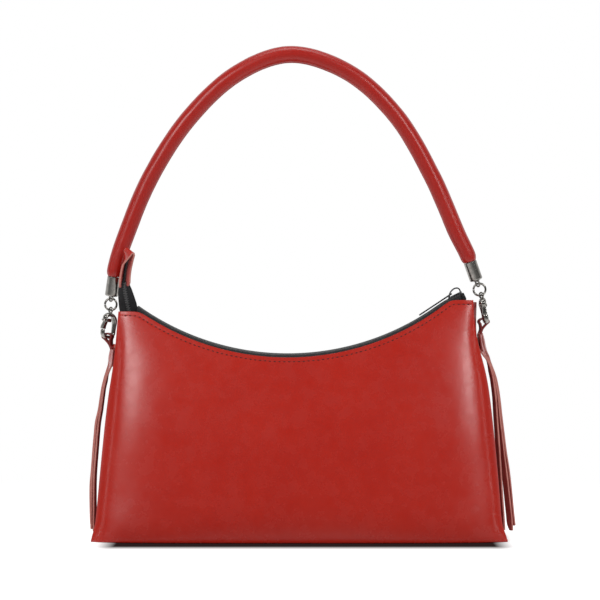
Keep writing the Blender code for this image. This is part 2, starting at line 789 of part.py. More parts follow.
UPRIGHT = -SWING_TILT
LEFT_HOOK = Vector((TOP_LEFT_X - LEFT_CLASP_OUT, 0, LEFT_HEIGHT - LEFT_CLASP_DOWN))
RIGHT_HOOK_X = TOP_RIGHT_X + RIGHT_CLASP_OUT
RIGHT_HOOK = LEFT_HOOK + Vector((1, 0, math.tan(SWING_TILT))) * (RIGHT_HOOK_X - LEFT_HOOK.x)
LEFT_EYE = LEFT_HOOK + lean_vector(UPRIGHT + CLASP_LEAN) * CLASP_REACH
RIGHT_EYE = RIGHT_HOOK + lean_vector(UPRIGHT - CLASP_LEAN) * CLASP_REACH
LEFT_RING_DIAMETER = RING_SPAN / math.cos(LEFT_RING_LEAN)
RIGHT_RING_DIAMETER = RING_SPAN / math.cos(RIGHT_RING_LEAN)
LEFT_CAP_EYE = LEFT_EYE + lean_vector(UPRIGHT + LEFT_RING_LEAN) * LEFT_RING_DIAMETER
RIGHT_CAP_EYE = RIGHT_EYE + lean_vector(UPRIGHT + RIGHT_RING_LEAN) * RIGHT_RING_DIAMETER
LEFT_MOUTH = LEFT_CAP_EYE + lean_vector(LEFT_CAP_LEAN) * CAP_REACH
RIGHT_MOUTH = RIGHT_CAP_EYE + lean_vector(RIGHT_CAP_LEAN) * CAP_REACH


def curve_through(knots, steps):
    """A smooth curve through the knots, each stretch in as many steps as its length asks for."""
    knots = [2 * knots[0] - knots[1]] + knots + [2 * knots[-1] - knots[-2]]
    points = []
    for p0, p1, p2, p3 in zip(knots, knots[1:], knots[2:], knots[3:]):
        t1 = math.sqrt((p1 - p0).length)
        t2 = t1 + math.sqrt((p2 - p1).length)
        t3 = t2 + math.sqrt((p3 - p2).length)
        count = max(1, round((p2 - p1).length / steps))
        for k in range(count):
            t = t1 + (t2 - t1) * k / count
            a1 = p0.lerp(p1, t / t1)
            a2 = p1.lerp(p2, (t - t1) / (t2 - t1))
            a3 = p2.lerp(p3, (t - t2) / (t3 - t2))
            b1 = a1.lerp(a2, t / t2)
            b2 = a2.lerp(a3, (t - t1) / (t3 - t1))
            points.append(b1.lerp(b2, (t - t1) / (t2 - t1)))
    return points + [knots[-2]]


def handle_path():
    span = RIGHT_MOUTH - LEFT_MOUTH
    rise = Vector((-span.z, 0, span.x)).normalized() * HANDLE_RISE
    left_in = LEFT_MOUTH + lean_vector(LEFT_CAP_LEAN) * HANDLE_NECK_LENGTH
    right_in = RIGHT_MOUTH + lean_vector(RIGHT_CAP_LEAN) * HANDLE_NECK_LENGTH
    knots = [LEFT_MOUTH + span * a + rise * b for a, b in HANDLE_CURVE]
    path = curve_through([left_in] + knots + [right_in], HANDLE_STEP)
    start = LEFT_MOUTH + lean_vector(LEFT_CAP_LEAN) * GAP
    end = RIGHT_MOUTH + lean_vector(RIGHT_CAP_LEAN) * GAP
    return [start] + path + [end]


def make_handle():
    path = handle_path()
    pivot = LEFT_CAP_EYE
    radii = [HANDLE_NECK] + [HANDLE_RADIUS] * (len(path) - 2) + [HANDLE_NECK]
    frames = ring_frames(path, start=(0, 1, 0))
    sides = 10
    rows = []
    for point, radius, (_, side, up) in zip(path, radii, frames):
        turn = [2 * math.pi * k / sides for k in range(sides)]
        rows.append([point + radius * (math.cos(a) * side + math.sin(a) * up) for a in turn])

    def outwards(centre):
        nearest = min(path, key=lambda point: (point - centre).length)
        return centre - nearest

    cover = sheet("handle_cover", rows, HANDLE_LEATHER, outwards, RED_LEATHER, wrap=True)
    set_origin(cover, pivot)
    inner = HANDLE_LEATHER + 2 * GAP
    left_end = LEFT_MOUTH - lean_vector(LEFT_CAP_LEAN) * CORE_TAIL
    right_end = RIGHT_MOUTH - lean_vector(RIGHT_CAP_LEAN) * CORE_TAIL
    thin = HANDLE_NECK - inner
    core_radii = [thin, thin] + [HANDLE_RADIUS - inner] * (len(path) - 2) + [thin, thin]
    core = tube_mesh([left_end] + path + [right_end], core_radii, 6, start=(0, 1, 0))
    set_origin(smooth(make_object("handle_core", core, CORD), 60), pivot)
    make_cap("left_end_cap", LEFT_CAP_EYE, LEFT_CAP_LEAN, pivot)
    make_cap("right_end_cap", RIGHT_CAP_EYE, RIGHT_CAP_LEAN, pivot)


def eye_mesh():
    """A small ring whose hole runs along X."""
    mean = EYE_HOLE + EYE_WIRE
    points = [(0, mean * math.cos(a), mean * math.sin(a)) for a in (2 * math.pi * k / 12 for k in range(12))]
    return tube_mesh(points, EYE_WIRE, 6, closed=True, start=(1, 0, 0))


def make_cap(name, eye, lean, pivot):
    """Turned end cap: a cup that takes the end of the cord, a neck and an eye below it."""
    frame = Matrix.Translation(eye) @ Matrix.Rotation(lean, 4, "Y")
    top = CAP_REACH
    low = top - CAP_LENGTH
    bore = HANDLE_NECK - HANDLE_LEATHER
    neck = EYE_HOLE + EYE_WIRE
    profile = [(0, neck), (0.0020, neck), (CAP_RADIUS - 0.0008, low - 0.0004), (CAP_RADIUS, low + 0.0006),
               (CAP_RADIUS, top - 0.0004), (CAP_RADIUS - 0.0004, top), (bore, top),
               (bore, top - CORE_TAIL - 2 * GAP), (0, top - CORE_TAIL - 2 * GAP)]
    cap = make_object(name, place(turned_mesh(profile, 16), frame), GUNMETAL)
    ring = make_object(name + "_eye", place(eye_mesh(), frame))
    joined(cap, ring)
    set_origin(smooth(cap), pivot)


def hook_path():
    """Centre line of the hook in its own XZ plane, from the barrel down, round and up to the tip."""
    wide = HOOK_HALF_WIDTH
    corner = HOOK_CORNER
    low = -HOOK_DEPTH + corner
    right = arc_points(wide - corner, low, corner, 0, -90, 4)
    left = arc_points(-wide + corner, low, corner, -90, -180, 4)
    flat = [(0.0012, 0.0078), (wide - 0.0012, 0.0058), (wide, 0.0030)] + right + left + [(-wide, HOOK_TIP)]
    return [(x, 0, z) for x, z in flat]


GATE_PIN_X = -0.0032
GATE_PIN_Z = 0.0072
GATE_ROOM = GATE_WIDTH / 2 + GAP


def make_clasp(side, hook, lean, spin):
    """Trigger clasp: hook and barrel in one casting, its gate and the gate's pin."""
    upright = Matrix.Translation(hook) @ Matrix.Rotation(lean, 4, "Y")
    frame = upright @ Matrix.Rotation(spin, 4, "Z")
    name = side + "_clasp"
    hook_mesh = tube_mesh(hook_path(), HOOK_WIRE, 8, start=(0, 1, 0))
    place(hook_mesh, Matrix.Scale(HOOK_BREADTH, 4, (0, 1, 0)))
    body = make_object(name + "_body", place(hook_mesh, frame), GUNMETAL)
    neck = CLASP_REACH - EYE_HOLE - EYE_WIRE
    profile = [(0, 0.0062), (BARREL_RADIUS * 0.7, 0.0062), (BARREL_RADIUS, 0.0068), (BARREL_RADIUS, 0.0098),
               (0.0013, 0.0106), (0.0011, neck), (0, neck)]
    offset = Matrix.Translation((0.0004, 0, 0))
    barrel = make_object(name + "_barrel", place(turned_mesh(profile, 12), upright @ offset))
    ears_half = GATE_ROOM + EAR_THICKNESS
    ears_outline = box_outline(GATE_PIN_X - EAR_REACH, 0.0, -ears_half, ears_half)
    ears_mesh = prism_mesh(ears_outline, GATE_PIN_Z - EAR_REACH, GATE_PIN_Z + EAR_REACH)
    ears = make_object(name + "_ears", place(ears_mesh, frame))
    eye = make_object(name + "_eye", place(eye_mesh(), upright @ Matrix.Translation((0, 0, CLASP_REACH))))
    slot_reach = 2.5 * EAR_REACH
    slot_outline = box_outline(GATE_PIN_X - slot_reach, GATE_PIN_X + EAR_REACH, -GATE_ROOM, GATE_ROOM)
    slot_mesh = prism_mesh(slot_outline, GATE_PIN_Z - slot_reach, GATE_PIN_Z + slot_reach)
    slot = make_object(name + "_slot", place(slot_mesh, frame))
    hole_points = [(GATE_PIN_X, -2 * ears_half, GATE_PIN_Z), (GATE_PIN_X, 2 * ears_half, GATE_PIN_Z)]
    hole = make_object(name + "_pin_hole", place(tube_mesh(hole_points, GATE_PIN + GAP, 8), frame))
    joined(body, barrel, ears, eye)
    cut(body, slot, hole)
    set_origin(smooth(body), hook)

    pin_points = [(GATE_PIN_X, -ears_half, GATE_PIN_Z), (GATE_PIN_X, ears_half, GATE_PIN_Z)]
    pin = make_object(side + "_gate_pin", place(tube_mesh(pin_points, GATE_PIN, 8), frame), GUNMETAL)
    set_origin(smooth(pin), hook)

    tip_z = HOOK_TIP + HOOK_WIRE * 0.5 + GAP
    thick = 0.0009
    outline = arc_points(GATE_PIN_X, GATE_PIN_Z, 0.0011, 60, 120, 2)
    outline += [(GATE_PIN_X - 0.0026, GATE_PIN_Z + 0.0008), (GATE_PIN_X - 0.0029, GATE_PIN_Z - 0.0004),
                (GATE_PIN_X - 0.0016, GATE_PIN_Z - 0.0012), (-HOOK_HALF_WIDTH - thick, tip_z + 0.0018),
                (-HOOK_HALF_WIDTH - thick, tip_z), (-HOOK_HALF_WIDTH + thick, tip_z),
                (-HOOK_HALF_WIDTH + thick + 0.0001, tip_z + 0.0020),
                (GATE_PIN_X + 0.0010, GATE_PIN_Z - 0.0004)]
    gate_mesh = prism_mesh(outline, -GATE_WIDTH / 2, GATE_WIDTH / 2, "Y")
    gate = make_object(side + "_gate", place(gate_mesh, frame), GUNMETAL)
    bore = make_object(side + "_gate_bore", place(tube_mesh(hole_points, GATE_PIN + GAP, 8), frame))
    cut(gate, bore)
    pin_place = frame @ Vector((GATE_PIN_X, 0, GATE_PIN_Z))
    set_origin(gate, pin_place)


def make_ring(side, eye, cap_eye, lean):
    centre = (eye + cap_eye) / 2
    frame = Matrix.Translation(centre) @ Matrix.Rotation(UPRIGHT + lean, 4, "Y")
    half = (cap_eye - eye).length / 2
    points = [(half * math.cos(a), 0, half * math.sin(a)) for a in (2 * math.pi * k / 20 for k in range(20))]
    ring = tube_mesh(points, RING_WIRE, 6, closed=True, start=(0, 1, 0))
    set_origin(smooth(make_object(side + "_ring", place(ring, frame), GUNMETAL), 60), eye)


# Side loops and strips

def patch_face(side, z):
    """Where the patch's flat back lies: just clear of the gusset over the patch's whole width."""
    out = -1 if side == "left" else 1
    share = PATCH_WIDTH / 2 / (side_half_depth(z) - LEATHER - GAP)
    reach = max(out * gusset_face(side, z), out * gusset_face(side, z, share))
    return out * (reach + GAP)


def make_side_tab(side, hook, lean, spin):
    """Strap loop round the clasp's bar, on a patch that is sewn flat to the gusset."""
    out = -1 if side == "left" else 1
    bar = hook - lean_vector(lean) * HOOK_DEPTH
    hole_half = HOOK_WIRE + LOOP_CLEARANCE
    width = LOOP_HALF_WIDTH
    patch_top = bar.z - LOOP_NECK
    patch_low = patch_top - PATCH_HEIGHT
    thick = STRAP_THICKNESS
    drop = LOOP_POINT
    hole = [(width * math.cos(a), hole_half * math.sin(a)) for a in (math.pi * k / 6 for k in range(7))]
    hole += [(0.0, -hole_half - drop)]
    outer = [((width + thick) * math.cos(a), (hole_half + thick) * math.sin(a))
             for a in (math.pi * k / 6 for k in range(7))]
    outer += [(-width * 0.9, -hole_half - 0.2 * thick), (-thick, -hole_half - drop - thick),
              (-thick, -LOOP_NECK), (thick, -LOOP_NECK), (thick, -hole_half - drop - thick),
              (width * 0.9, -hole_half - 0.2 * thick)]
    half = STRAP_WIDTH / 2
    turn = Matrix.Translation(bar) @ Matrix.Rotation(spin - math.pi / 2, 4, "Z")
    tab = make_object(side + "_side_tab", place(prism_mesh(outer, -half, half, "Y"), turn), RED_LEATHER)
    hollow = make_object(side + "_loop_hole", place(prism_mesh(hole, -2 * half, 2 * half, "Y"), turn))
    cut(tab, hollow)
    # the patch lies along the gusset, and a bridge joins it to the loop's neck
    head = patch_top + LOOP_BRIDGE
    foot = patch_top - LOOP_BRIDGE
    high, low = patch_face(side, foot), patch_face(side, patch_low)
    thick = out * PATCH_THICKNESS
    steep = [(patch_face(side, head), head), (high, foot), (high + thick, foot), (bar.x + thick, head)]
    narrow = STRAP_WIDTH * 0.45
    bridge = make_object(side + "_bridge", prism_mesh(steep, -narrow, narrow, "Y"))
    edge = foot + LOOP_BRIDGE / 2
    flat = [(high, edge), (low, patch_low), (low + thick, patch_low), (high + thick, edge)]
    patch = make_object(side + "_patch", prism_mesh(flat, -PATCH_WIDTH / 2, PATCH_WIDTH / 2, "Y"))
    joined(tab, bridge, patch)
    make_strips(side, out, low, patch_low)


def make_strips(side, out, inner_x, patch_low):
    """Cut strips that hang from the patch along the gusset, each hinged where it leaves the patch."""
    flares = LEFT_STRIP_FLARES if side == "left" else RIGHT_STRIP_FLARES
    full = LEFT_STRIP_LENGTH if side == "left" else RIGHT_STRIP_LENGTH
    bow = LEFT_STRIP_BOW if side == "left" else RIGHT_STRIP_BOW
    slope = math.atan2(out * (gusset_face(side, 0) - inner_x), patch_low)
    for k in range(STRIP_COUNT):
        y = (k - (STRIP_COUNT - 1) / 2) * STRIP_PITCH
        hinge = Vector((inner_x + out * STRIP_THICKNESS / 2, y, patch_low - GAP))
        lean = slope + math.radians(flares[k])
        down = Vector((out * math.sin(lean), 0, -math.cos(lean)))
        length = min(full, (hinge.z - STRIP_FOOT) / math.cos(lean))
        outwards = Vector((out * math.cos(lean), 0, math.sin(lean)))
        rows = []
        for share, bulge in STRIP_CURVE:
            along = STRIP_THICKNESS / 2 + (length - STRIP_THICKNESS / 2) * share
            middle = hinge + down * along + outwards * (STRIP_THICKNESS / 2 + bow * bulge)
            half = STRIP_WIDTH / 2 * (1.0 if share < 1.0 else STRIP_TIP)
            rows.append([middle + Vector((0, -half, 0)), middle + Vector((0, half, 0))])
        strip = sheet("%s_strip_%d" % (side, k + 1), rows, STRIP_THICKNESS, (out, 0, 0), DARK_LEATHER)
        set_origin(strip, hinge)


def main():
    remove_all()
    make_shell()
    make_zip()
    make_tail()
    make_handle()
    make_ring("left", LEFT_EYE, LEFT_CAP_EYE, LEFT_RING_LEAN)
    make_ring("right", RIGHT_EYE, RIGHT_CAP_EYE, RIGHT_RING_LEAN)
    left_lean = UPRIGHT + CLASP_LEAN
    right_lean = UPRIGHT - CLASP_LEAN
    make_clasp("left", LEFT_HOOK, left_lean, LEFT_CLASP_SPIN)
    make_clasp("right", RIGHT_HOOK, right_lean, RIGHT_CLASP_SPIN)
    make_side_tab("left", LEFT_HOOK, left_lean, LEFT_CLASP_SPIN)
    make_side_tab("right", RIGHT_HOOK, right_lean, RIGHT_CLASP_SPIN)
    bpy.context.view_layer.update()


main()
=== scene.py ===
import json
import math

import bpy
from mathutils import Matrix, Vector, noise


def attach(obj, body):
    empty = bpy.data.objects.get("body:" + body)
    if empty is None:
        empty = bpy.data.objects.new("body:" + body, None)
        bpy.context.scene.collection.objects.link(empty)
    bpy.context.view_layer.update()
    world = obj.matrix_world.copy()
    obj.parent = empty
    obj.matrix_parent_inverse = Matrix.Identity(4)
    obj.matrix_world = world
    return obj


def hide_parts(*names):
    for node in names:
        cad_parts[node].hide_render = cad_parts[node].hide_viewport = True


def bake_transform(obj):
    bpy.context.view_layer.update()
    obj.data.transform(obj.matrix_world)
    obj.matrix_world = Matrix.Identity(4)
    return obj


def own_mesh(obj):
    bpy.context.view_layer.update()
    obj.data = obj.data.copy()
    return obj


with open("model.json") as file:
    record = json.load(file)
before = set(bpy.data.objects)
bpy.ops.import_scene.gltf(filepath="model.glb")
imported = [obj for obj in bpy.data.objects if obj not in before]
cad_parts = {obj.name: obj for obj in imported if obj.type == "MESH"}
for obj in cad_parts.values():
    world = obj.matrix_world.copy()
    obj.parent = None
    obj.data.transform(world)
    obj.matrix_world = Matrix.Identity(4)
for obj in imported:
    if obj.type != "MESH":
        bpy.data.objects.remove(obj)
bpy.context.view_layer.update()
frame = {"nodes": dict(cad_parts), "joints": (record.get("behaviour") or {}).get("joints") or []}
jointAt = {joint["name"]: Vector(joint["pos_m"]) for joint in frame["joints"]}
print("frame loaded:", len(frame["nodes"]), "nodes")

# the bag's outer leather, in metres, as it was cut
bag = {
    "baseLength": 0.2924, "baseShift": -0.0015, "topLength": 0.2604, "topShift": -0.0020,
    "leftHeight": 0.1647, "rightHeight": 0.1730,
    "lipLow": 0.1317, "lipRadius": 0.190, "lipCentreX": -0.0094, "lipRounding": 0.0012,
    "leftBelly": 0.0012, "rightBelly": 0.0020,
    "leftDraw": 0.0013, "leftDrawAt": 0.132, "rightDraw": 0.0037, "rightDrawAt": 0.147, "drawSpan": 0.024,
    "baseDepth": 0.086, "middleDepth": 0.072, "topDepth": 0.030,
    "baseSideDepth": 0.076, "middleSideDepth": 0.048, "topSideDepth": 0.026,
    "foldRadius": 0.006, "hemWidth": 0.006,
    "leather": 0.0018, "lining": 0.0007, "gap": 0.0003, "sheetGap": 0.0006,
}
height = (bag["leftHeight"] + bag["rightHeight"]) / 2
topLeftX = bag["topShift"] - bag["topLength"] / 2
topRightX = bag["topShift"] + bag["topLength"] / 2
baseLeftX = bag["baseShift"] - bag["baseLength"] / 2
baseRightX = bag["baseShift"] + bag["baseLength"] / 2
lipCentreZ = bag["lipLow"] + bag["lipRadius"]
leather, lining, gap, sheetGap = bag["leather"], bag["lining"], bag["gap"], bag["sheetGap"]
up = Vector((0, 0, 1))


# shaping, shared by all pieces

def pickOnly(item):
    bpy.ops.object.select_all(action="DESELECT")
    bpy.context.view_layer.objects.active = item
    item.select_set(True)


def added(name, operator, **settings):
    # a new primitive, lamp or curve on its own, picked and named
    bpy.ops.object.select_all(action="DESELECT")
    operator(**settings)
    bpy.context.object.name = name
    return bpy.context.object


def editAll(item, *steps):
    # runs edit-mode operators on the whole mesh
    pickOnly(item)
    bpy.ops.object.mode_set(mode="EDIT")
    allPicked()
    for step in steps:
        step()
    bpy.ops.object.mode_set(mode="OBJECT")
    return item


def allPicked():
    bpy.ops.mesh.select_all(action="SELECT")


def normalsOut():
    bpy.ops.mesh.normals_make_consistent(inside=False)


def drawUp(tall):
    bpy.ops.mesh.extrude_region_move(TRANSFORM_OT_translate={"value": (0, 0, tall)})


def modify(item, kind, **settings):
    step = item.modifiers.new(kind.lower(), kind)
    for name, value in settings.items():
        setattr(step, name, value)
    pickOnly(item)
    bpy.ops.object.modifier_apply(modifier=step.name)
    return item


def faceOut(item, outwards):
    # turns the whole sheet over if most of it looks the wrong way
    total = sum(face.normal.dot(outwards(face.center)) * face.area for face in item.data.polygons)
    if total < 0:
        editAll(item, bpy.ops.mesh.flip_normals)


def gridSheet(name, columns, rows, shape, flat, closed=False):
    # a grid primitive laid over a surface; shape takes u and v from -1 to 1, flat scales the UV to metres
    item = added(name, bpy.ops.mesh.primitive_grid_add, x_subdivisions=columns, y_subdivisions=rows, size=2)
    for vert in item.data.vertices:
        vert.co = shape(vert.co.x, vert.co.y)
    for corner in item.data.uv_layers[0].data:
        corner.uv = (corner.uv.x * flat[0], corner.uv.y * flat[1])
    if closed:
        editAll(item, lambda: bpy.ops.mesh.remove_doubles(threshold=1e-6))
    return item


# slots that keep the numbers of face, back and rim until the real materials come
spares = [bpy.data.materials.new("spare%d" % k) for k in range(3)]


def thicken(item, thickness, outwards, rim=0, back=0, bevel=0):
    # gives a sheet its wall, inwards from its outer face; rim and back choose the material slots
    faceOut(item, outwards)
    for spare in spares[len(item.data.materials):]:
        item.data.materials.append(spare)
    modify(item, "SOLIDIFY", thickness=thickness, offset=-1, use_even_offset=True,
           material_offset_rim=rim, material_offset=back)
    if bevel:
        modify(item, "BEVEL", width=bevel, segments=2, limit_method="ANGLE", angle_limit=math.radians(50))
    return item


def leatherSheet(name, columns, rows, shape, flat, thick, outwards, bevel=0.0003, closed=False):
    # grain outside, suede inside and a cut rim
    item = gridSheet(name, columns, rows, shape, flat, closed)
    return thicken(item, thick, outwards, rim=2, back=1, bevel=bevel)


def clothSheet(name, columns, rows, shape, flat, thick, outwards, bevel=0):
    return thicken(gridSheet(name, columns, rows, shape, flat), thick, outwards, bevel=bevel)


def complete(item, body, materials, nodes=(), angle=40):
    # place applied, shading, materials, then the CAD body it moves with
    pickOnly(item)
    bpy.ops.object.transform_apply(location=True, rotation=True, scale=True)
    bpy.ops.object.shade_smooth_by_angle(angle=math.radians(angle))
    indices = [face.material_index for face in item.data.polygons]
    item.data.materials.clear()
    for material in materials:
        item.data.materials.append(material)
    for face, index in zip(item.data.polygons, indices):
        face.material_index = min(index, len(materials) - 1)
    if body:
        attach(item, body)
    if nodes:
        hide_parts(*nodes)


def reclothe(node, material):
    # a CAD piece that stays gets its finish
    slots = frame["nodes"][node].data.materials
    slots.clear()
    slots.append(material)


def copies(item, places):
    # one modelled piece repeated at many places, joined as one mesh
    verts = [vert.co.copy() for vert in item.data.vertices]
    faces = [list(face.vertices) for face in item.data.polygons]
    points, polygons = [], []
    for place in places:
        start = len(points)
        points += [place @ vert for vert in verts]
        polygons += [[start + index for index in face] for face in faces]
    mesh = bpy.data.meshes.new(item.name)
    mesh.from_pydata(points, [], polygons)
    item.data = mesh


def joinTo(item, *others):
    bpy.ops.object.select_all(action="DESELECT")
    for other in others:
        other.select_set(True)
    item.select_set(True)
    bpy.context.view_layer.objects.active = item
    bpy.ops.object.join()
    return item


def setAt(item, matrix):
    pickOnly(item)
    bpy.ops.object.transform_apply(location=True, rotation=True, scale=True)
    item.data.transform(matrix)


def deepened(item, factor):
    # stretched or flattened from front to back
    item.data.transform(Matrix.Diagonal((1, factor, 1, 1)))


def turnedBy(degrees, axis):
    return Matrix.Rotation(math.radians(degrees), 4, axis)


def frameOn(origin, along, across):
    # a place whose Z looks along and whose X looks roughly across
    z = along.normalized()
    x = (across - z * across.dot(z)).normalized()
    y = z.cross(x)
    return Matrix.Translation(origin) @ Matrix((x, y, z)).transposed().to_4x4()


def smoothPath(knots, count):
    # a smooth curve through the knots, read at even steps of length
    ends = [2 * knots[0] - knots[1]] + knots + [2 * knots[-1] - knots[-2]]
    fine = []
    for p0, p1, p2, p3 in zip(ends, ends[1:], ends[2:], ends[3:]):
        t1 = math.sqrt((p1 - p0).length)
        t2 = t1 + math.sqrt((p2 - p1).length)
        t3 = t2 + math.sqrt((p3 - p2).length)
        for k in range(24):
            t = t1 + (t2 - t1) * k / 24
            a1, a2 = p0.lerp(p1, t / t1), p1.lerp(p2, (t - t1) / (t2 - t1))
            a3 = p2.lerp(p3, (t - t2) / (t3 - t2))
            b1, b2 = a1.lerp(a2, t / t2), a2.lerp(a3, (t - t1) / (t3 - t1))
            fine.append(b1.lerp(b2, (t - t1) / (t2 - t1)))
    fine.append(knots[-1])
    lengths = [0.0]
    for a, b in zip(fine, fine[1:]):
        lengths.append(lengths[-1] + (b - a).length)
    points, k = [], 0
    for step in range(count + 1):
        want = lengths[-1] * step / count
        while k < len(fine) - 2 and lengths[k + 1] < want:
            k += 1
        span = lengths[k + 1] - lengths[k]
        points.append(fine[k].lerp(fine[k + 1], (want - lengths[k]) / span if span else 0))
    return points


def pathFrames(points, side):
    # (tangent, side, normal) at each point, with the side kept as near as it can be
    frames = []
    for k, point in enumerate(points):
        tangent = (points[min(k + 1, len(points) - 1)] - points[max(k - 1, 0)]).normalized()
        side = (side - tangent * side.dot(tangent)).normalized()
        frames.append((tangent, side, tangent.cross(side)))
    return frames


def roundBar(name, points, radii, sides=16, closed=False):
    # a curve with a round bevel, turned into a mesh
    item = added(name, bpy.ops.curve.primitive_nurbs_path_add)
    curve = item.data
    curve.splines.clear()
    spline = curve.splines.new("POLY")
    spline.points.add(len(points) - 1)
    for k, point in enumerate(points):
        spline.points[k].co = (*point, 1)
        spline.points[k].radius = radii[k] if isinstance(radii, list) else radii
    spline.use_cyclic_u = closed
    curve.bevel_depth = 1.0
    curve.bevel_resolution = (sides - 4) // 2
    curve.use_fill_caps = not closed
    bpy.ops.object.convert(target="MESH")
    return editAll(item, lambda: bpy.ops.mesh.remove_doubles(threshold=1e-7), normalsOut)


def turned(name, profile, sides=48, bevel=0.00025):
    # a circle drawn up and scaled from one radius and height to the next, as on a lathe
    radius, low = profile[0]
    item = added(name, bpy.ops.mesh.primitive_circle_add, vertices=sides, radius=radius, fill_type="NGON",
                 location=(0, 0, low))
    bpy.ops.object.transform_apply(location=True)
    bpy.ops.object.mode_set(mode="EDIT")
    for nextRadius, nextHeight in profile[1:]:
        drawUp(nextHeight - low)
        bpy.ops.transform.resize(value=(nextRadius / radius,) * 2 + (1,), center_override=(0, 0, nextHeight))
        radius, low = nextRadius, nextHeight
    allPicked()
    normalsOut()
    bpy.ops.object.mode_set(mode="OBJECT")
    if bevel:
        modify(item, "BEVEL", width=bevel, segments=2, limit_method="ANGLE", angle_limit=math.radians(30))
    return item


def block(name, size, centre, bevel, segments=3):
    # a cube primitive at its size with rounded edges
    item = added(name, bpy.ops.mesh.primitive_cube_add, size=1, location=centre)
    item.scale = size
    bpy.ops.object.transform_apply(location=True, rotation=True, scale=True)
    return editAll(item, lambda: bpy.ops.mesh.bevel(offset=bevel, segments=segments, affect="EDGES"))


# wiring of materials, shared by all of them

def wire(tree, kind, inputs=None, **settings):
    # adds a node, sets its options, then joins or sets its inputs
    item = tree.nodes.new("ShaderNode" + kind)
    for name, value in settings.items():
        setattr(item, name, value)
    for name, value in (inputs or {}).items():
        if isinstance(value, bpy.types.NodeSocket):
            tree.links.new(value, item.inputs[name])
        else:
            item.inputs[name].default_value = value
    return item


def mathOf(tree, operation, *values):
    return wire(tree, "Math", dict(enumerate(values)), operation=operation).outputs[0]


def times(tree, first, second):
    return mathOf(tree, "MULTIPLY", first, second)


def plus(tree, first, second):
    return mathOf(tree, "ADD", first, second)


def minus(tree, first, second):
    return mathOf(tree, "SUBTRACT", first, second)


def spread(tree, value, low, high, toLow=0.0, toHigh=1.0):
    return wire(tree, "MapRange", {0: value, 1: low, 2: high, 3: toLow, 4: toHigh}).outputs[0]


def mixed(tree, share, first, second):
    return wire(tree, "Mix", {0: share, 6: first, 7: second}, data_type="RGBA").outputs[2]


def noiseOf(tree, vector, scale, detail=3.0, roughness=0.5):
    inputs = {"Vector": vector, "Scale": scale, "Detail": detail, "Roughness": roughness}
    return wire(tree, "TexNoise", inputs).outputs[0]


def newGroup(name, inputs, outputs):
    tree = bpy.data.node_groups.new(name, "ShaderNodeTree")
    for label, kind in inputs:
        tree.interface.new_socket(label, in_out="INPUT", socket_type="NodeSocket" + kind)
    for label in outputs:
        tree.interface.new_socket(label, in_out="OUTPUT", socket_type="NodeSocketFloat")
    return tree, tree.nodes.new("NodeGroupInput").outputs, tree.nodes.new("NodeGroupOutput").inputs


def joinUp(tree, sockets, **values):
    for name, value in values.items():
        tree.links.new(value, sockets[name.replace("_", " ")])


def placed(tree, group, **values):
    return wire(tree, "Group", values, node_tree=group).outputs


def leatherGrainGroup():
    # small domed cells with soft valleys, a slow mottle and patches of more and less gloss
    tree, given, result = newGroup("leatherGrain", [("Vector", "Vector"), ("Size", "Float")],
                                   ["Height", "Valley", "Tone", "Gloss"])
    fine = mathOf(tree, "DIVIDE", 1.0, given["Size"])
    sway = wire(tree, "TexNoise", {"Vector": given["Vector"], "Scale": 600.0}).outputs[1]
    swayed = wire(tree, "VectorMath", {0: sway, "Scale": 0.0007}, operation="SCALE").outputs[0]
    bent = wire(tree, "VectorMath", {0: given["Vector"], 1: swayed}, operation="ADD").outputs[0]
    cells = wire(tree, "TexVoronoi", {"Vector": bent, "Scale": fine}, feature="DISTANCE_TO_EDGE").outputs[0]
    dome = spread(tree, cells, 0.0, 0.32)
    skin = noiseOf(tree, given["Vector"], times(tree, fine, 0.45), 4.0)
    slow = plus(tree, times(tree, noiseOf(tree, given["Vector"], 22.0, 3.0), 0.65),
                times(tree, noiseOf(tree, given["Vector"], 210.0, 4.0), 0.35))
    joinUp(tree, result, Height=plus(tree, times(tree, dome, 0.55), times(tree, skin, 0.6)),
           Valley=minus(tree, 1.0, spread(tree, cells, 0.0, 0.12)), Tone=spread(tree, slow, 0.34, 0.66),
           Gloss=spread(tree, noiseOf(tree, given["Vector"], 95.0, 5.0, 0.6), 0.3, 0.7))
    return tree


def convexEdgesGroup():
    # picks out convex edges, broken up by noise: edge wear on leather and metal, a painted sheen on nylon
    tree, given, result = newGroup("convexEdges", [("Vector", "Vector"), ("Start", "Float")], ["Mask"])
    sharp = wire(tree, "NewGeometry").outputs["Pointiness"]
    mask = spread(tree, minus(tree, sharp, given["Start"]), 0.0, 0.06)
    broken = spread(tree, noiseOf(tree, given["Vector"], 420.0, 4.0, 0.65), 0.35, 0.65, 0.35, 1.0)
    joinUp(tree, result, Mask=times(tree, mask, broken))
    return tree


def weaveGroup():
    # plain weave: threads one way pass over and under threads the other way
    tree, given, result = newGroup("weave", [("Vector", "Vector"), ("Pitch", "Float")], ["Height", "Tone"])
    fine = mathOf(tree, "DIVIDE", 1.0, given["Pitch"])
    scaled = wire(tree, "VectorMath", {0: given["Vector"], "Scale": fine}, operation="SCALE").outputs[0]
    parts = wire(tree, "SeparateXYZ", {0: scaled}).outputs
    ridges, cells = [], []
    for k in (0, 1):
        ridges.append(mathOf(tree, "ABSOLUTE", mathOf(tree, "SINE", times(tree, parts[k], math.pi))))
        cells.append(mathOf(tree, "FLOOR", parts[k]))
    over = mathOf(tree, "PINGPONG", plus(tree, cells[0], cells[1]), 1.0)
    under = minus(tree, 1.0, over)
    first = times(tree, ridges[0], plus(tree, times(tree, over, 0.6), 0.4))
    second = times(tree, ridges[1], plus(tree, times(tree, under, 0.6), 0.4))
    top = mathOf(tree, "MAXIMUM", first, second)
    fade = spread(tree, noiseOf(tree, given["Vector"], 300.0), 0.3, 0.7, 0.7, 1.0)
    joinUp(tree, result, Height=top, Tone=times(tree, top, fade))
    return tree


